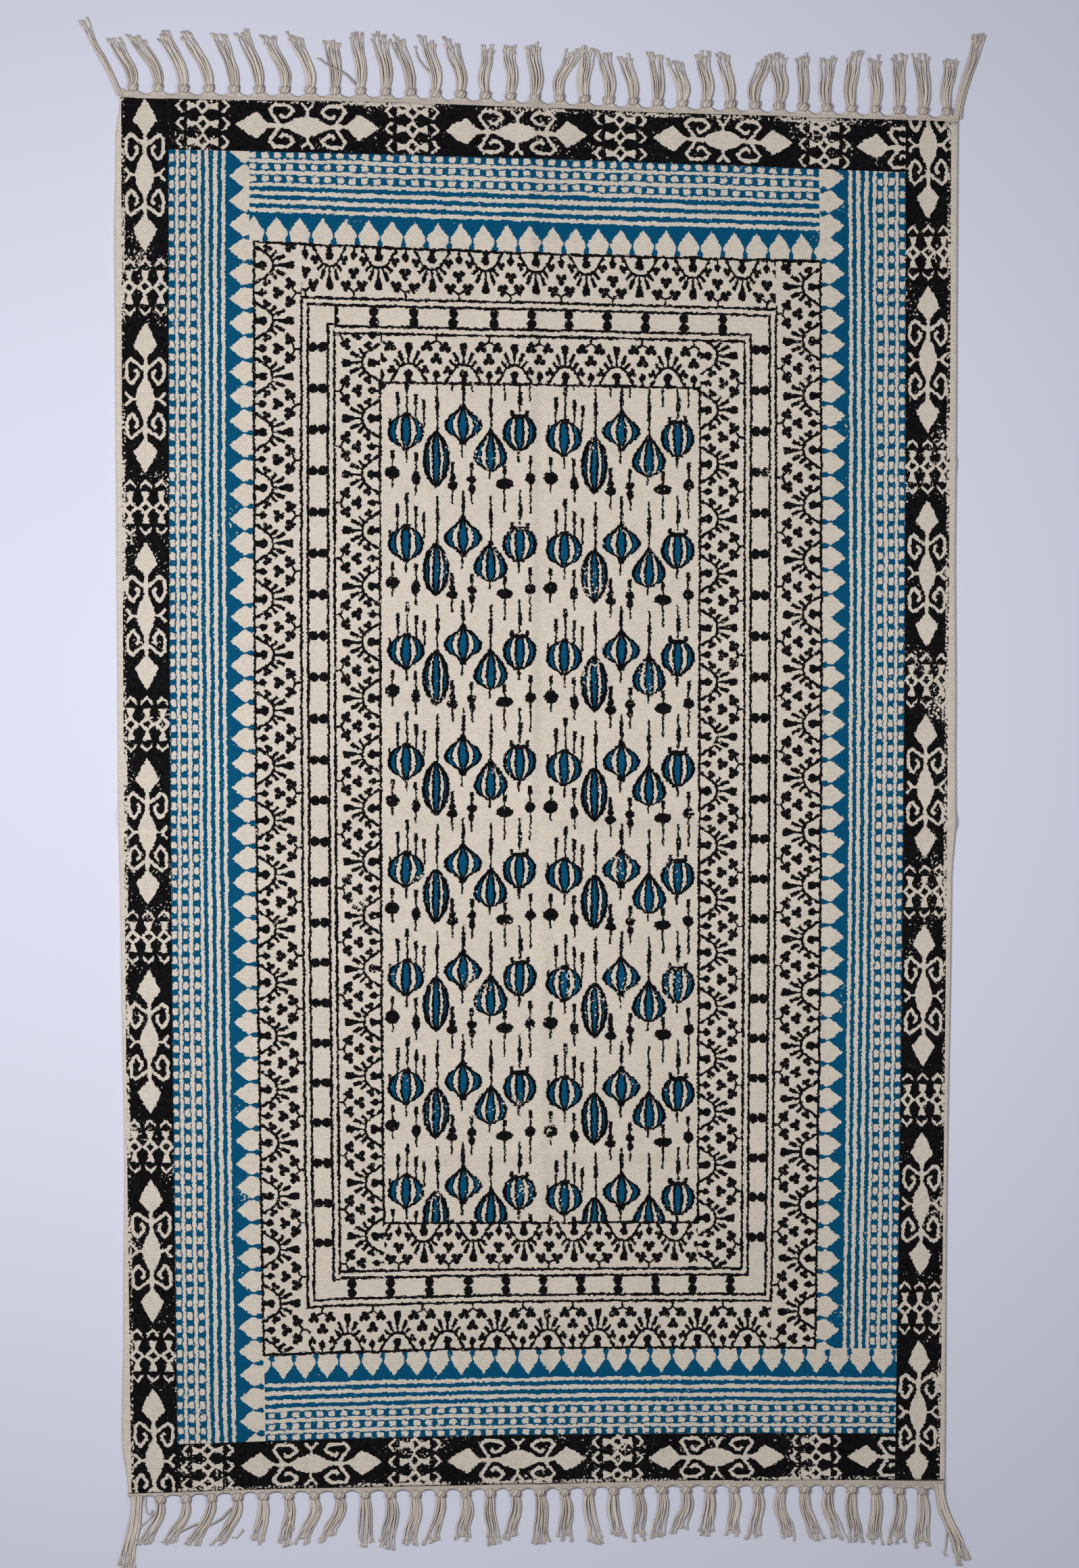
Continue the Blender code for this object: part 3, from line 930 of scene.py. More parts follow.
# The layout for baking: the upper skin fills a square, and all hidden faces share one small corner
BAKE_START = 0.03
BAKE_SPAN = 0.96
HIDDEN_FACE = [(0.004, 0.004), (0.02, 0.004), (0.02, 0.02), (0.004, 0.02)]


def add_object(name, data):
    """A new object in the scene, at the origin."""
    thing = bpy.data.objects.new(name, data)
    bpy.context.scene.collection.objects.link(thing)
    return thing


def add_mesh(name, points, edges=(), faces=(), middle=MIDDLE):
    """A new object with a mesh, from points in millimetres from a middle, by default the cloth's."""
    mesh = bpy.data.meshes.new(name)
    places = [((x + middle[0]) * MM, (y + middle[1]) * MM, z * MM) for x, y, z in points]
    mesh.from_pydata(places, edges, faces)
    return add_object(name, mesh)


def ripple(x, y):
    """The slow unevenness of a cloth that has been folded and opened again."""
    return RIPPLE * (math.sin(x / 31 + 1.3 * math.sin(y / 83)) + math.sin(y / 27 + 1.7 * math.sin(x / 71)))


def cloth_heights(x, y):
    """Underside and upper side of the cloth at a place, in millimetres."""
    across = (x - upright_x("left", y)) / (upright_x("right", y) - upright_x("left", y))
    along = (y - level_y("bottom", x)) / (level_y("top", x) - level_y("bottom", x))
    low = crease_lift(across, along)
    inset = min(across, 1 - across) * CLOTH_WIDTH
    calm = min(1, inset / CALM_RIM)
    top = low + CLOTH_THICKNESS + read_table(SELVEDGE, inset) + ripple(x, y) * calm
    return low, top


def make_cloth():
    columns, rows = len(across_stations), len(along_stations)
    spots = [[grid_place(across, along) for across in across_stations] for along in along_stations]
    heights = [[cloth_heights(x, y) for x, y in line] for line in spots]
    points = [(*place, high[skin]) for skin in (0, 1) for line, highs in zip(spots, heights)
              for place, high in zip(line, highs)]
    cells = [(j, i) for j in range(rows - 1) for i in range(columns - 1)]
    faces, looks, print_uv, end_uv, bake_uv = [], [], [], [], []

    def index(skin, j, i):
        return (skin * rows + j) * columns + i

    for j, i in cells:
        (column, share), row = across_stations[i], along_stations[j][0]
        name, side = band_of(column, row, share)
        corners = [(j, i), (j, i + 1), (j + 1, i + 1), (j + 1, i)]
        faces.append([index(1, *corner) for corner in corners])
        looks.append(name)
        for n, m in corners:
            share_x = across_stations[m][1] if across_stations[m][0] == column else 1.0
            share_y = along_stations[n][1] if along_stations[n][0] == row else 1.0
            along, across, end = printed_place(name, side, *spots[n][m], share_x, share_y)
            print_uv.append((along * MM, across * MM))
            end_uv.append((end * MM, 0))
            bake_uv.append((BAKE_START + BAKE_SPAN * m / (columns - 1),
                            BAKE_START + BAKE_SPAN * n / (rows - 1)))
    for j, i in cells:
        faces.append([index(0, *corner) for corner in ((j, i), (j + 1, i), (j + 1, i + 1), (j, i + 1))])
    rim = [(0, i) for i in range(columns)] + [(j, columns - 1) for j in range(1, rows)]
    rim += [(rows - 1, i) for i in range(columns - 2, -1, -1)] + [(j, 0) for j in range(rows - 2, 0, -1)]
    for (j, i), (n, m) in zip(rim, rim[1:] + rim[:1]):
        faces.append([index(0, j, i), index(0, n, m), index(1, n, m), index(1, j, i)])
    cloth = add_mesh("printed_cloth", points, faces=faces)
    mesh = cloth.data
    hidden = len(faces) - len(cells)
    looks += ["edge"] * hidden
    slots = list(dict.fromkeys(looks))
    for name in slots:
        mesh.materials.append(materials[name])
    mesh.polygons.foreach_set("material_index", [slots.index(name) for name in looks])
    mesh.polygons.foreach_set("use_smooth", [True] * len(faces))
    print_uv += [(0.0, 0.0)] * (hidden * 4)
    end_uv += [(FAR_FROM_END * MM, 0.0)] * (hidden * 4)
    for name, values in (("print", print_uv), ("ends", end_uv), ("OFBake", bake_uv + HIDDEN_FACE * hidden)):
        layer = mesh.uv_layers.new(name=name)
        layer.data.foreach_set("uv", [number for pair in values for number in pair])
    mesh.validate()
    return cloth


cloth = make_cloth()
print("cloth:", len(cloth.data.polygons), "faces,", [round(side, 4) for side in cloth.dimensions], "m")
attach(cloth, "root")
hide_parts("rug_body")

# %% [markdown]
# The fringe is the rug's own warps. At each end they run out of a narrow unprinted heading, are
# drawn together in a cone, knotted, and left as seven or eight plied strands with brushed-out tips.
# Over 500 strands follow one rule, so Geometry Nodes spin them: the script gives each tassel's
# middle line, and the tree copies it once for each strand, spreads and waves the copies, and
# sweeps a round section along them. First come the helpers that every such tree uses.

# %% Helpers for Geometry Nodes
def carried(tree, name):
    """A number that the mesh or the curves carry at each point."""
    return Number(add_node(tree, "GeometryNodeInputNamedAttribute", Name=name).outputs["Attribute"])


def random_value(tree, low, high, seed, kind="FLOAT"):
    node = add_node(tree, "FunctionNodeRandomValue", {"data_type": kind}, Min=low, Max=high, Seed=seed)
    return Number(find_socket(node.outputs, "Value"))


def dye(tree, geometry, material, out):
    """The end of a tree: real copies with smooth faces and one material."""
    real = add_node(tree, "GeometryNodeRealizeInstances", Geometry=geometry)
    smooth = add_node(tree, "GeometryNodeSetShadeSmooth", Geometry=real.outputs[0])
    dyed = add_node(tree, "GeometryNodeSetMaterial", Geometry=smooth.outputs[0], Material=material)
    fill(out.inputs["Geometry"], dyed.outputs[0])


def apply_tree(name, source, tree, values):
    """Run the tree on a source object, keep the result as a plain mesh, and drop the source."""
    modifier = source.modifiers.new(tree.name, "NODES")
    modifier.node_group = tree
    sockets = {item.name: item.identifier for item in tree.interface.items_tree if item.in_out == "INPUT"}
    for socket, value in values.items():
        modifier[sockets[socket]] = value
    ready = source.evaluated_get(bpy.context.evaluated_depsgraph_get())
    mesh = bpy.data.meshes.new_from_object(ready)
    mesh.name = name
    source.modifiers.remove(modifier)
    bpy.data.objects.remove(source, do_unlink=True)
    return add_object(name, mesh)


# %% [markdown]
# Plied cotton: two yarns twisted round each other. The twist is too fine to model on every strand,
# so the material draws it. Each point carries where it lies round its strand and how far along,
# and a wave that climbs with both is the twist. It dents the valley between the plies and paints
# shade into it. The material also paints shade on each strand's sides and underside, and on the
# strands that lie low in a tassel's heap.

# %% Cream yarn
PLY_PITCH = 5.2
YARN_CREAM = (0.735, 0.662, 0.598, 1)
# The dark end of the mix: painted shade in ply valleys, on undersides and on low strands, and the darker
# random fibres.
YARN_SHADE = (0.200, 0.160, 0.128, 1)
# How much of the brightness comes from the fibres, slow changes, painted light from above, and painted shade
# by each strand's place in the heap
FIBRE_WEIGHT = 0.4
SLOW_WEIGHT = 0.4
PAINTED_LIGHT_FROM_ABOVE_WEIGHT = 1.3
PILE_PAINTED_SHADE_WEIGHT = 0.5
PILE_PAINTED_SHADE_MIDDLE = 0.4
YARN_FIBRES = (1.3, 4.0, 3.0)
YARN_PATCHES = (22, 8.0, 1.0)


def cream_yarn(name, ply_weight, lightness):
    """Cream cotton: how strongly the twist shows in it, as dents and painted shade, and how light it is
    between the plies.
    """
    material = bpy.data.materials.new(name)
    material.use_nodes = True
    tree = material.node_tree
    twist, pile = (add_node(tree, "ShaderNodeAttribute", {"attribute_name": name}).outputs
                   for name in ("twist", "pile"))
    cos, sin, length = split(tree, twist["Vector"])
    angle = reckon("ARCTAN2", sin, cos)
    phase = reckon("MULTIPLY_ADD", length, 2 * math.pi / (PLY_PITCH * MM), angle * 2.0)
    # The ply wave dents the yarn and paints shade into the valley between the plies.
    ply = reckon("MULTIPLY_ADD", reckon("COSINE", phase), 0.5, 0.5)
    fibres, slow = (Number(noise(tree, *kind)["Fac"]) for kind in (YARN_FIBRES, YARN_PATCHES))
    facing = split(tree, add_node(tree, "ShaderNodeNewGeometry").outputs["Normal"])
    # Painted shade: faces that turn away from straight up, the yarn's sides and underside, are painted
    # darker.
    painted_light_from_above = reckon("SMOOTH_MIN", facing[2] * 1.3, 1.0, 0.2)
    amount = reckon("MULTIPLY_ADD", fibres, FIBRE_WEIGHT, slow * SLOW_WEIGHT + lightness)
    amount = reckon("MULTIPLY_ADD", ply, ply_weight, amount) + painted_light_from_above * (PAINTED_LIGHT_FROM_ABOVE_WEIGHT - ply_weight)
    # Painted shade: strands low in the heap are painted darker, strands on top lighter.
    amount = amount + (Number(pile["Fac"]) - PILE_PAINTED_SHADE_MIDDLE) * PILE_PAINTED_SHADE_WEIGHT
    bump = add_node(tree, "ShaderNodeBump", Strength=0.6, Distance=0.35 * MM,
                    Height=ply * (ply_weight * 2) + fibres * FIBRE_WEIGHT)
    set_inputs(tree.nodes["Principled BSDF"], Base_Color=mixed(tree, YARN_SHADE, YARN_CREAM, amount),
               Roughness=0.95, Specular_IOR_Level=0.15, Sheen_Weight=0.1, Normal=bump.outputs[0])
    return material


yarn = cream_yarn("cream yarn", 0.12, -0.86)
gathered_warps = cream_yarn("gathered warps", 0.5, -0.66)
print("yarn: one ply turn every", PLY_PITCH, "mm")

# %% [markdown]
# The tree for strands. `Place` tells a copy how far to the side it lies, `End` where it was cut
# off. The tube stops a little before the cut, and a few thin fibres go on to it and fan out.

# %% The strands' tree
STRAND_POINTS = 15
FIBRES = 7
# The place in the heap given to the brushed fibres, which the yarn turns into painted light
TIP_PAINTED_LIGHT = 1.3
# Shares of a strand's length where its tube ends and its brushed-out fibres begin
TUBE_END = 0.94
BRUSH_START = 0.87
TAPER = -0.7
FIBRE_THINNESS = 0.34
FAN_REACH = 1.9
FAN_START = 0.5
FAN_RISE = 0.8
PLACE_SHAKE = 0.14
# The noise that waves the strands: how far it differs from strand to strand, its scale and detail
WAVE_SHIFT = 40.0
WAVE_SCALE = 42.0
WAVE_DETAIL = 1.5


def strands_tree():
    tree, take, out = new_tree("Strands", "GeometryNodeTree", {
        "Geometry": "Geometry", "Strand Thickness": "Float", "Waviness": "Float", "Shortest": "Float",
        "Fringe Seed": "Int", "Material": "Material"}, {"Geometry": "Geometry"})

    def step(kind, options=(), **inputs):
        return add_node(tree, kind, options, **inputs).outputs[0]

    def chance(low, high, extra):
        return random_value(tree, low, high, take["Fringe Seed"] + float(extra))

    def store(geometry, name, value, domain="CURVE", kind="FLOAT"):
        return step("GeometryNodeStoreNamedAttribute", {"data_type": kind, "domain": domain},
                    Geometry=geometry, Name=name, Value=value)

    def on_curve(output):
        return Number(add_node(tree, "GeometryNodeSplineParameter").outputs[output])

    def stretch(geometry, start, end, points):
        """One part of every line, with its points at even steps."""
        part = step("GeometryNodeTrimCurve", Curve=geometry, Start=start, End=end)
        return step("GeometryNodeResampleCurve", Curve=part, Count=points)

    def sweep(geometry, sides, radius):
        """Round tubes along the lines, which carry where each point lies round and along them."""
        geometry = store(geometry, "run", on_curve("Length"), "POINT")
        circle = step("GeometryNodeCurvePrimitiveCircle", Resolution=sides, Radius=1.0)
        turn = on_curve("Factor") * (2 * math.pi)
        ring = store(circle, "turn_cos", reckon("COSINE", turn), "POINT")
        ring = store(ring, "turn_sin", reckon("SINE", turn), "POINT")
        swept = step("GeometryNodeCurveToMesh", Curve=geometry, Profile_Curve=ring, Scale=radius,
                     Fill_Caps=True)
        twist = join(tree, *(carried(tree, name) for name in ("turn_cos", "turn_sin", "run")))
        return store(swept, "twist", twist, "POINT", "FLOAT_VECTOR")

    lines = step("GeometryNodeMeshToCurve", Mesh=take["Geometry"])
    copies = add_node(tree, "GeometryNodeDuplicateElements", {"domain": "SPLINE"},
                      Geometry=lines, Amount=carried(tree, "strands")).outputs
    place = (Number(copies["Duplicate Index"]) + 0.5) / carried(tree, "strands") * 2.0 - 1.0
    curves = store(copies["Geometry"], "place", place + chance(-PLACE_SHAKE, PLACE_SHAKE, 1))
    curves = store(curves, "pile", chance(0.0, 1.0, 2))
    curves = store(curves, "end", chance(take["Shortest"], 1.0, 3))

    wave = add_node(tree, "ShaderNodeTexNoise", {"noise_dimensions": "4D"},
                    Vector=step("GeometryNodeInputPosition"), W=carried(tree, "pile") * WAVE_SHIFT,
                    Scale=WAVE_SCALE, Detail=WAVE_DETAIL)
    drift = split(tree, wave.outputs["Color"])
    sway = take["Waviness"] * reckon("POWER", carried(tree, "share"), 1.1)
    aside = carried(tree, "place") * carried(tree, "spread") + (drift[0] - 0.5) * sway
    lift = carried(tree, "pile") * carried(tree, "heap") + (drift[2] - 0.4) * sway * 0.25
    offset = join(tree, aside, 0.0, reckon("MAXIMUM", lift, 0.0))
    moved = step("GeometryNodeSetPosition", Geometry=curves, Offset=offset)

    end = carried(tree, "end")
    half = take["Strand Thickness"] * 0.5
    thin = reckon("MULTIPLY_ADD", reckon("POWER", on_curve("Factor"), 6.0), TAPER, 1.0)
    tubes = sweep(stretch(moved, 0.0, end * TUBE_END, STRAND_POINTS), 6, half * thin)
    tufts = add_node(tree, "GeometryNodeDuplicateElements", {"domain": "SPLINE"},
                     Geometry=stretch(moved, end * BRUSH_START, end, 4), Amount=FIBRES)
    fan = store(tufts.outputs["Geometry"], "fan_x", chance(-1.0, 1.0, 4))
    fan = store(fan, "fan_z", chance(0.0, 1.0, 5))
    # Painted light: the fibres get a high place in the heap, so the yarn paints them lighter.
    fan = store(fan, "pile", TIP_PAINTED_LIGHT)
    reach = on_curve("Factor")
    fan_x = carried(tree, "fan_x") * (reach * FAN_REACH * MM + FAN_START * MM)
    fan_z = carried(tree, "fan_z") * reach * (FAN_RISE * MM)
    fan = step("GeometryNodeSetPosition", Geometry=fan, Offset=join(tree, fan_x, 0.0, fan_z))
    joined = add_node(tree, "GeometryNodeJoinGeometry", Geometry=tubes)
    fill(joined.inputs["Geometry"], sweep(fan, 3, half * FIBRE_THINNESS))
    dye(tree, joined.outputs[0], take["Material"], out)
    return tree


strands = strands_tree()
print(strands.name, "has the inputs", [item.name for item in strands.interface.items_tree])

# %% [markdown]
# No two tassels lie alike, so how each lies is a table read from left to right: the sideways lean
# of its tip and its length, in millimetres. They lie much as the locks of the solids do.

# %% How each tassel lies
# `knots` are the x of the first and last knot, `drift` how far the middle ones sit to the right,
# and `heading` is its width at both ends. A corner's row is x, lean, length, strands and breadth.
TOP = {
    "edge": "top", "seed": 7, "outwards": 1, "knots": (-440, 445), "drift": 8, "heading": (7, 5.5),
    "lies": [(-24, 53), (-29, 59), (-26, 62), (-31, 63), (-19, 60), (-21, 65), (-22, 59), (-22, 63),
             (-3, 58), (-5, 65), (-7, 65), (-17, 62), (-12, 62), (-13, 62), (3, 55), (0, 56), (-3, 61),
             (18, 53), (4, 57), (-8, 55), (-11, 51), (-4, 55), (-11, 48), (-4, 56), (-10, 57), (15, 54),
             (-1, 57), (1, 58), (3, 57), (5, 63), (1, 59), (0, 63), (-3, 62), (5, 58)],
    "corners": [(-454, -44, 84, 5, 0.55), (456, 26, 92, 8, 0.8)],
    "knot_out": 4.6,
}
BOTTOM = {
    "edge": "bottom", "seed": 11, "outwards": -1, "knots": (-410, 418), "drift": 12, "heading": (4, 8.5),
    "lies": [(-18, 48), (-22, 51), (-24, 51), (-24, 51), (-9, 53), (-5, 55), (-15, 53), (-17, 50), (-1, 56),
             (-4, 59), (-6, 55), (-13, 54), (-5, 51), (4, 56), (-7, 51), (0, 56), (1, 53), (10, 57), (5, 53),
             (2, 54), (-5, 51), (-11, 47), (-5, 50), (-3, 50), (-6, 53), (9, 54), (14, 54), (13, 56), (5, 57),
             (-1, 59), (-3, 57), (1, 60)],
    "corners": [(-436, -15, 87, 13, 1.15), (436, 28, 86, 12, 1.0)],
    "knot_out": 2.5,
}
HEADING_GAP = 0.3
HEADING_THICKNESS = 2.9
HEADING_LIFT = 0.3
CORNER_KNOT_OUT = 5.4
STRAND_THICKNESS = 1.95
# Columns: share of the tassel's length, and half its spread or how high its strands pile up
TASSEL_WIDTHS = [(0, 3.2), (0.08, 4.8), (0.25, 6.0), (0.6, 6.9), (1, 8.6)]
CORNER_WIDTHS = [(0, 5.0), (0.1, 4.2), (0.5, 5.6), (1, 8.6)]
TASSEL_HEAPS = [(0, 2.6), (0.2, 2.0), (0.6, 1.0), (1, 0.3)]
# Loose strands run through points x, y and height; some cross a neighbour, some curl back
LOOSE_STRANDS = {
    "top": [
        [(-197, 774, 4), (-208, 785.5, 4), (-219, 791, 5.4), (-229.5, 797, 5), (-239, 804, 2),
         (-247, 804.6, 1)],
        [(-114, 785, 3), (-123, 794, 3), (-129, 803, 2), (-132, 813, 1), (-135, 822, 1)],
    ],
    "bottom": [
        [(-333, -772, 4), (-343, -783, 4), (-355, -791, 2), (-368, -797, 1)],
        [(-370, -789, 3), (-380, -794, 3), (-389, -799, 2), (-395, -805, 1)],
        [(-426, -759, 2), (-426, -770, 1), (-425, -777.5, 1), (-422, -780, 1), (-418.5, -777.5, 1),
         (-417, -770, 2)],
        [(-416, -777, 2), (-423, -786, 1), (-430, -792, 2), (-435, -795.5, 3)],
        [(-320, -796, 2), (-323.5, -802, 1), (-327, -805.5, 1), (-330.5, -804, 1)],
        [(-270, -777, 2), (-268.5, -788.5, 1), (-265, -794, 1), (-267, -798, 1), (-270, -795.5, 1)],
        [(446.5, -777, 3), (445, -789, 1), (444.5, -802, 1), (444, -816, 1), (443, -821, 1),
         (445.5, -825, 1)],
    ],
}
LINE_STEPS = 12
CONE_STEPS = 4
WARPS_IN_CONE = 11
STRAND_COUNTS = (7, 7, 8)
# How a tassel bows beside its knot and sways further out
BOW = (1.2, 3.6)
BOW_SIDE_CHANGE = 3
SWAY = 1.4
# How a lean grows along a tassel, where its line starts past the knot, and what its length gains
TASSEL_RUN = (1.5, 2.4, -0.4)
CORNER_RUN = (1, -3, 4)
FLOOR_GAP = 0.1
RISE_AT_KNOT = 1.5
# How far back a cone starts, and what its half width adds there to its half width at the knot
CONE_BACK = 3
CONE_FLARE = 7.2
CONE_HALF_WIDTH = 2.6
CONE_DROP = 0.5
LOW_HEAP = 0.2


def heading_width(fringe, x):
    left, right = edge_point(fringe["edge"], 0)[0], edge_point(fringe["edge"], 1)[0]
    share = min(1, max(0, (x - left) / (right - left)))
    return fringe["heading"][0] * (1 - share) + fringe["heading"][1] * share


def tassel_roots(fringe):
    """Each tassel as (x, y, lean, length, strands and breadth of a corner bundle), in millimetres."""
    first, last = fringe["knots"]
    gaps = len(fringe["lies"]) - 1
    roots = []
    for k, (lean, length) in enumerate(fringe["lies"]):
        x = first + (last - first) * k / gaps + fringe["drift"] * math.sin(math.pi * k / gaps)
        out = HEADING_GAP + heading_width(fringe, x) + fringe["knot_out"]
        roots.append((x, edge_line(fringe["edge"], x) + fringe["outwards"] * out, lean, length, None))
    for x, lean, length, *bundle in fringe["corners"]:
        y = edge_line(fringe["edge"], x) + fringe["outwards"] * CORNER_KNOT_OUT
        roots.append((x, y, lean, length, bundle))
    return roots


def line_object(name, lines):
    """Open lines as a mesh of edges. Each point is (x, y, z, share, spread, heap, strands)."""
    points = [point for line in lines for point in line]
    edges, start = [], 0
    for line in lines:
        edges += [(i, i + 1) for i in range(start, start + len(line) - 1)]
        start += len(line)
    thing = add_mesh(name, [point[:3] for point in points], edges)
    for column, title, scale in ((3, "share", 1), (4, "spread", MM), (5, "heap", MM), (6, "strands", 1)):
        values = [point[column] * scale for point in points]
        thing.data.attributes.new(title, "FLOAT", "POINT").data.foreach_set("value", values)
    return thing


def tassel_lines(fringe, chance):
    """The middle line of every tassel: out of its knot, down to the floor and over to its lean."""
    lines = []
    for x, y, lean, length, corner in tassel_roots(fringe):
        curve, start, gain = CORNER_RUN if corner else TASSEL_RUN
        bend = chance.uniform(*BOW) * (1 if lean < BOW_SIDE_CHANGE else -1)
        swing = chance.uniform(-SWAY, SWAY)
        strands_here, breadth = corner or (chance.choice(STRAND_COUNTS), 1)
        widths = CORNER_WIDTHS if corner else TASSEL_WIDTHS
        line = []
        for i in range(LINE_STEPS + 1):
            share = i / LINE_STEPS
            side = lean * share ** curve + bend * math.sin(math.pi * min(1, share * 1.6))
            side += swing * math.sin(2 * math.pi * share) * share
            forward = start + (length + gain) * share
            height = STRAND_THICKNESS / 2 + FLOOR_GAP + RISE_AT_KNOT * (1 - share) ** 4
            spread = read_table(widths, share) * breadth
            line.append((x + side, y + fringe["outwards"] * forward, height, share, spread,
                         read_table(TASSEL_HEAPS, share), strands_here))
        lines.append(line)
    for path in LOOSE_STRANDS[fringe["edge"]]:
        lines.append([(*place, i / (len(path) - 1), 0.5, LOW_HEAP, 1) for i, place in enumerate(path)])
    return lines


def knot_places(fringe):
    """Where the knots lie: a corner bundle has none."""
    return [(x, y) for x, y, lean, length, corner in tassel_roots(fringe) if not corner]


def cone_lines(fringe):
    """The warps that draw together from the heading into each knot."""
    back = fringe["outwards"] * (fringe["knot_out"] + CONE_BACK)
    lines = []
    for x, y in knot_places(fringe):
        line = []
        for share in (i / CONE_STEPS for i in range(CONE_STEPS + 1)):
            height = HEADING_THICKNESS - CONE_DROP + CONE_DROP * share
            spread = CONE_FLARE * (1 - share) ** 1.3 + CONE_HALF_WIDTH
            line.append((x, y + back * (share - 1), height, share, spread, LOW_HEAP, WARPS_IN_CONE))
        lines.append(line)
    return lines


print("tassels:", len(tassel_roots(TOP)), "above and", len(tassel_roots(BOTTOM)), "below")

# %% [markdown]
# Each knot is an overhand knot of the whole bundle, a lumpy ball with the yarn's turns showing
# across it. One knot is modelled as a ring loft with slanting ridges, and a second small tree sets
# a copy of it at each root, turned and sized a little differently.

# %% Knots
# Columns: millimetres outwards from the knot's middle, width, height
KNOT_RINGS = [(-4.2, 6.0, 3.6), (-3.2, 8.8, 4.9), (-1.4, 10.4, 5.9), (0.6, 10.8, 6.1), (2.4, 10.0, 5.6),
              (3.6, 7.8, 4.6), (4.3, 5.6, 3.6)]
KNOT_HEIGHT = 3.9
KNOT_SIDES = 20
KNOT_TURNS = 6
# How high the ridges stand, and how far they slant from ring to ring
RIDGE = 0.15
RIDGE_SLANT = 1.1
# Least and greatest size and turn of a knot on the three axes, the turn in radians
KNOT_SIZES = ((0.92, 0.9, 0.95), (1.12, 1.1, 1.05))
KNOT_LEANS = ((0, -0.25, -0.25), (0, 0.25, 0.25))


def set_twists(mesh, twists):
    """Store for each point its cosine and sine round the yarn, and its place along it."""
    layer = mesh.attributes.new("twist", "FLOAT_VECTOR", "POINT")
    layer.data.foreach_set("vector", [number for twist in twists for number in twist])


def knot_shape():
    points, twists = [], []
    for ring, (out, width, height) in enumerate(KNOT_RINGS):
        run = RIDGE_SLANT * ring / (2 * math.pi) * PLY_PITCH * MM
        for k in range(KNOT_SIDES):
            angle = 2 * math.pi * (k / KNOT_SIDES - 0.25)
            turned = angle * KNOT_TURNS / 2
            ridge = 1 + RIDGE * math.cos(KNOT_TURNS * angle + ring * RIDGE_SLANT)
            points.append((width / 2 * ridge * math.cos(angle), out, height / 2 * ridge * math.sin(angle)))
            twists.append((math.cos(turned), math.sin(turned), run))
    faces = []
    for start in range(0, len(points) - KNOT_SIDES, KNOT_SIDES):
        for k in range(KNOT_SIDES):
            n = (k + 1) % KNOT_SIDES
            faces.append((start + k, start + KNOT_SIDES + k, start + KNOT_SIDES + n, start + n))
    faces.append(range(KNOT_SIDES))
    faces.append(range(len(points) - 1, len(points) - 1 - KNOT_SIDES, -1))
    shape = add_mesh("knot_shape", points, faces=faces, middle=(0, 0))
    set_twists(shape.data, twists)
    return shape


def knots_tree():
    tree, take, out = new_tree(
        "Knots", "GeometryNodeTree",
        {"Geometry": "Geometry", "Knot": "Object", "Knot Seed": "Int", "Material": "Material"},
        {"Geometry": "Geometry"})
    shape = add_node(tree, "GeometryNodeObjectInfo", Object=take["Knot"])
    size, turn = (random_value(tree, *limits, take["Knot Seed"], "FLOAT_VECTOR")
                  for limits in (KNOT_SIZES, KNOT_LEANS))
    knots = add_node(tree, "GeometryNodeInstanceOnPoints", Points=take["Geometry"],
                     Instance=shape.outputs["Geometry"], Rotation=turn, Scale=size)
    dye(tree, knots.outputs[0], take["Material"], out)
    return tree


knots = knots_tree()
one_knot = knot_shape()
print("one knot:", len(one_knot.data.polygons), "faces")


# %% [markdown]
# The heading is the last few millimetres of plain weave past the print, a strip that follows the
# cloth's end.

# %% The heading
HEADING_STEP = 3
SCALLOP = 5.6
SCALLOP_REACH = 7.5
WARP_STEP = 2.4
HEADING_SIDES = 5
HEADING_START = 0.05
CHAMFER = 0.7
# The share of a scallop that lies inside the strip's edge, and the fine wobble of that edge
SCALLOP_INSIDE = 0.45
WOBBLE = 0.3
WOBBLE_STEP = 2.9
WARP_FAN = 0.07


def heading(fringe):
    left, right = edge_point(fringe["edge"], 0)[0], edge_point(fringe["edge"], 1)[0]
    count = round((right - left) / HEADING_STEP)
    points, faces, twists = [], [], []
    roots = [root[0] for root in tassel_roots(fringe)]
    for i in range(count + 1):
        share = i / count
        x = left + (right - left) * share
        y = edge_line(fringe["edge"], x)
        low = HEADING_LIFT + crease_lift(share, 1 if fringe["outwards"] > 0 else 0)
        high = low + HEADING_THICKNESS
        wide = HEADING_GAP + heading_width(fringe, x)
        knot = min(roots, key=lambda root: abs(x - root))
        to_knot = abs(x - knot)
        waver = SCALLOP * (math.exp(-(to_knot / SCALLOP_REACH) ** 2) - SCALLOP_INSIDE)
        edge = wide + (waver + WOBBLE * math.sin(x / WOBBLE_STEP))
        for out, z in ((HEADING_START, low), (HEADING_START, high), (wide * 0.5, high),
                       (edge, high - CHAMFER), (edge, low)):
            points.append((x, y + fringe["outwards"] * out, z))
            fanned = knot + (x - knot) * (1 + WARP_FAN * out)
            twists.append((1.0, 0.0, fanned / WARP_STEP * PLY_PITCH * MM))
    sides = HEADING_SIDES
    for start in range(0, count * sides, sides):
        for k in range(sides):
            n = (k + 1) % sides
            faces.append((start + k, start + n, start + sides + n, start + sides + k))
    faces += [tuple(reversed(range(sides))), tuple(count * sides + k for k in range(sides))]
    if fringe["outwards"] > 0:
        faces = [face[::-1] for face in faces]
    piece = add_mesh("heading_" + fringe["edge"], points, faces=faces)
    piece.data.materials.append(gathered_warps)
    set_twists(piece.data, twists)
    return piece


# %% [markdown]
# Each fringe is put together from its four pieces, which replace its plain solid.

# %% Both fringes
TASSEL_WAVINESS = 10.0
SHORTEST_STRAND = 0.82
WARP_THICKNESS = 1.2
WARP_WAVINESS = 0.4
SHORTEST_WARP = 0.98


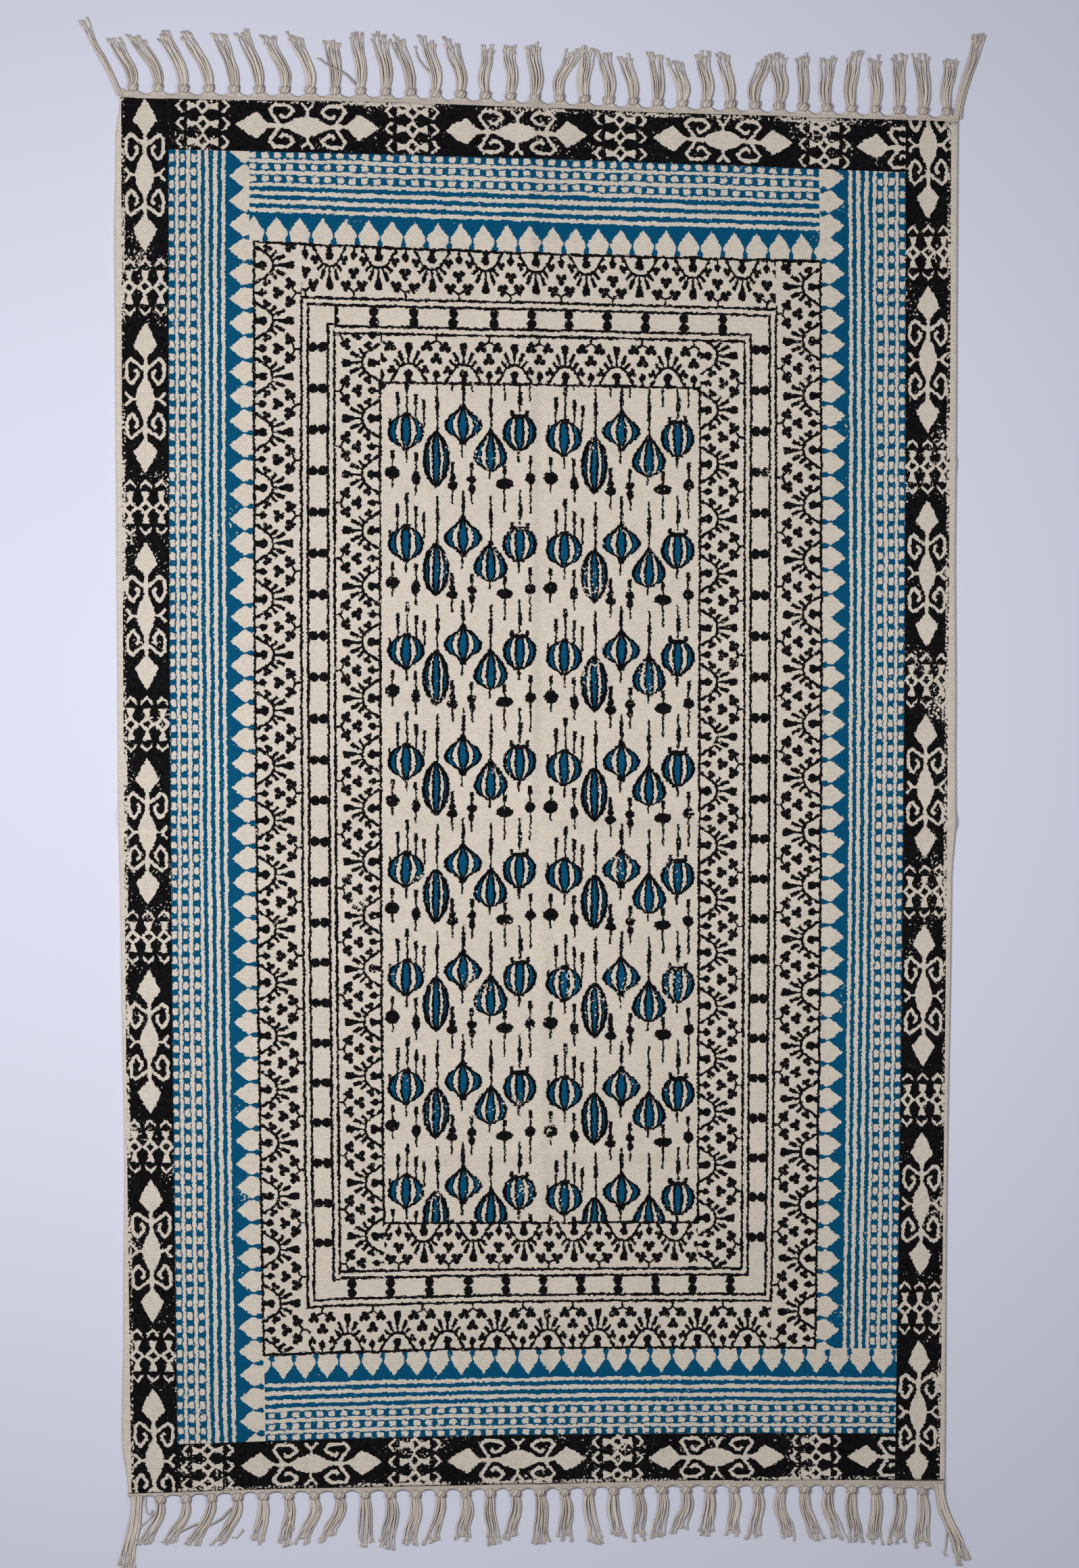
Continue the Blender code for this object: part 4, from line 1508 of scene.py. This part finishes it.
def make_fringe(fringe):
    edge, seed = fringe["edge"], fringe["seed"]
    chance = random.Random(seed)
    common = {"Strand Thickness": STRAND_THICKNESS * MM, "Fringe Seed": seed, "Material": yarn}
    pieces = [
        heading(fringe),
        apply_tree("tassels_" + edge, line_object("tassel_lines", tassel_lines(fringe, chance)), strands,
                   {**common, "Waviness": TASSEL_WAVINESS * MM, "Shortest": SHORTEST_STRAND}),
        apply_tree("warps_" + edge, line_object("warp_lines", cone_lines(fringe)), strands,
                   {**common, "Strand Thickness": WARP_THICKNESS * MM, "Waviness": WARP_WAVINESS * MM,
                    "Shortest": SHORTEST_WARP}),
        apply_tree("knots_" + edge,
                   add_mesh("knot_points", [(x, y, KNOT_HEIGHT) for x, y in knot_places(fringe)]), knots,
                   {"Knot": one_knot, "Knot Seed": seed, "Material": gathered_warps}),
    ]
    for piece in pieces:
        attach(piece, "root")
        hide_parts("fringe_" + edge)
        triangles = sum(len(face.vertices) - 2 for face in piece.data.polygons)
        print(piece.name, triangles, "triangles")
    return pieces


fringe_pieces = make_fringe(TOP) + make_fringe(BOTTOM)
bpy.data.objects.remove(one_knot, do_unlink=True)

# %% [markdown]
# The floor is a plain pale sheet under the rug. The main lamp hangs at the left like a window and a
# weak one at the right fills its shadows, with a faint even light from all round. Both hang low, so
# the rug's ends are dimmer than its middle, and short shadows fall to the right.

# %% Floor and light
FLOOR_COLOUR = (0.700, 0.715, 0.845, 1)
FLOOR_REACH = 6000
FLOOR_HEIGHT = -0.3
LAMP_SIDE = 0.68
LAMP_ALONG = 0.16
LAMP_HEIGHT = 1.75
LAMP_SIZE = 0.5
WINDOW_POWER = 26
FILL_POWER = 6.5
ROOM_LIGHT = 0.16


def make_floor():
    material = bpy.data.materials.new("pale floor")
    material.use_nodes = True
    set_inputs(material.node_tree.nodes["Principled BSDF"], Base_Color=FLOOR_COLOUR, Roughness=0.95)
    signs = ((-1, -1), (1, -1), (1, 1), (-1, 1))
    corners = [(x * FLOOR_REACH, y * FLOOR_REACH, FLOOR_HEIGHT) for x, y in signs]
    floor = add_mesh("floor", corners, faces=[(0, 1, 2, 3)], middle=(0, 0))
    floor.data.materials.append(material)


def make_lamp(name, x, power):
    """A square lamp, so far to the right, that faces the rug's middle."""
    data = bpy.data.lights.new(name, "AREA")
    data.size = LAMP_SIZE
    data.energy = power
    lamp = add_object(name, data)
    lamp.location = (x, LAMP_ALONG, LAMP_HEIGHT)
    tilt = math.atan2(math.hypot(x, LAMP_ALONG), LAMP_HEIGHT)
    lamp.rotation_euler = (tilt, 0, math.atan2(-LAMP_ALONG, -x) - math.pi / 2)


make_floor()
make_lamp("window", -LAMP_SIDE, WINDOW_POWER)
make_lamp("fill", LAMP_SIDE, FILL_POWER)
world = bpy.data.worlds.new("room")
world.use_nodes = True
set_inputs(world.node_tree.nodes["Background"], Color=(1.0, 1.0, 1.0, 1), Strength=ROOM_LIGHT)
bpy.context.scene.world = world
bpy.context.scene.view_settings.view_transform = "Standard"

# %% [markdown]
# The picture was taken from straight above. At the cloth's scale of 0.7355 mm to a pixel, its
# frame of 1596 by 2320 pixels covers 1.17 by 1.71 metres of floor.

# %% Camera
PIXEL = 0.7355 * MM
FRAME_HEIGHT = 2320 * PIXEL
FRAME_MIDDLE = (3 * PIXEL + MIDDLE[0] * MM, 20 * PIXEL + MIDDLE[1] * MM)
CAMERA_HEIGHT = 4.0
SENSOR_HEIGHT = 24
camera_data = bpy.data.cameras.new("camera")
camera_data.sensor_fit = "VERTICAL"
camera_data.sensor_height = SENSOR_HEIGHT
camera_data.lens = SENSOR_HEIGHT * CAMERA_HEIGHT / FRAME_HEIGHT
camera = add_object("camera", camera_data)
camera.location = (*FRAME_MIDDLE, CAMERA_HEIGHT)
bpy.context.scene.camera = camera
print("lens:", round(camera_data.lens, 1), "mm")
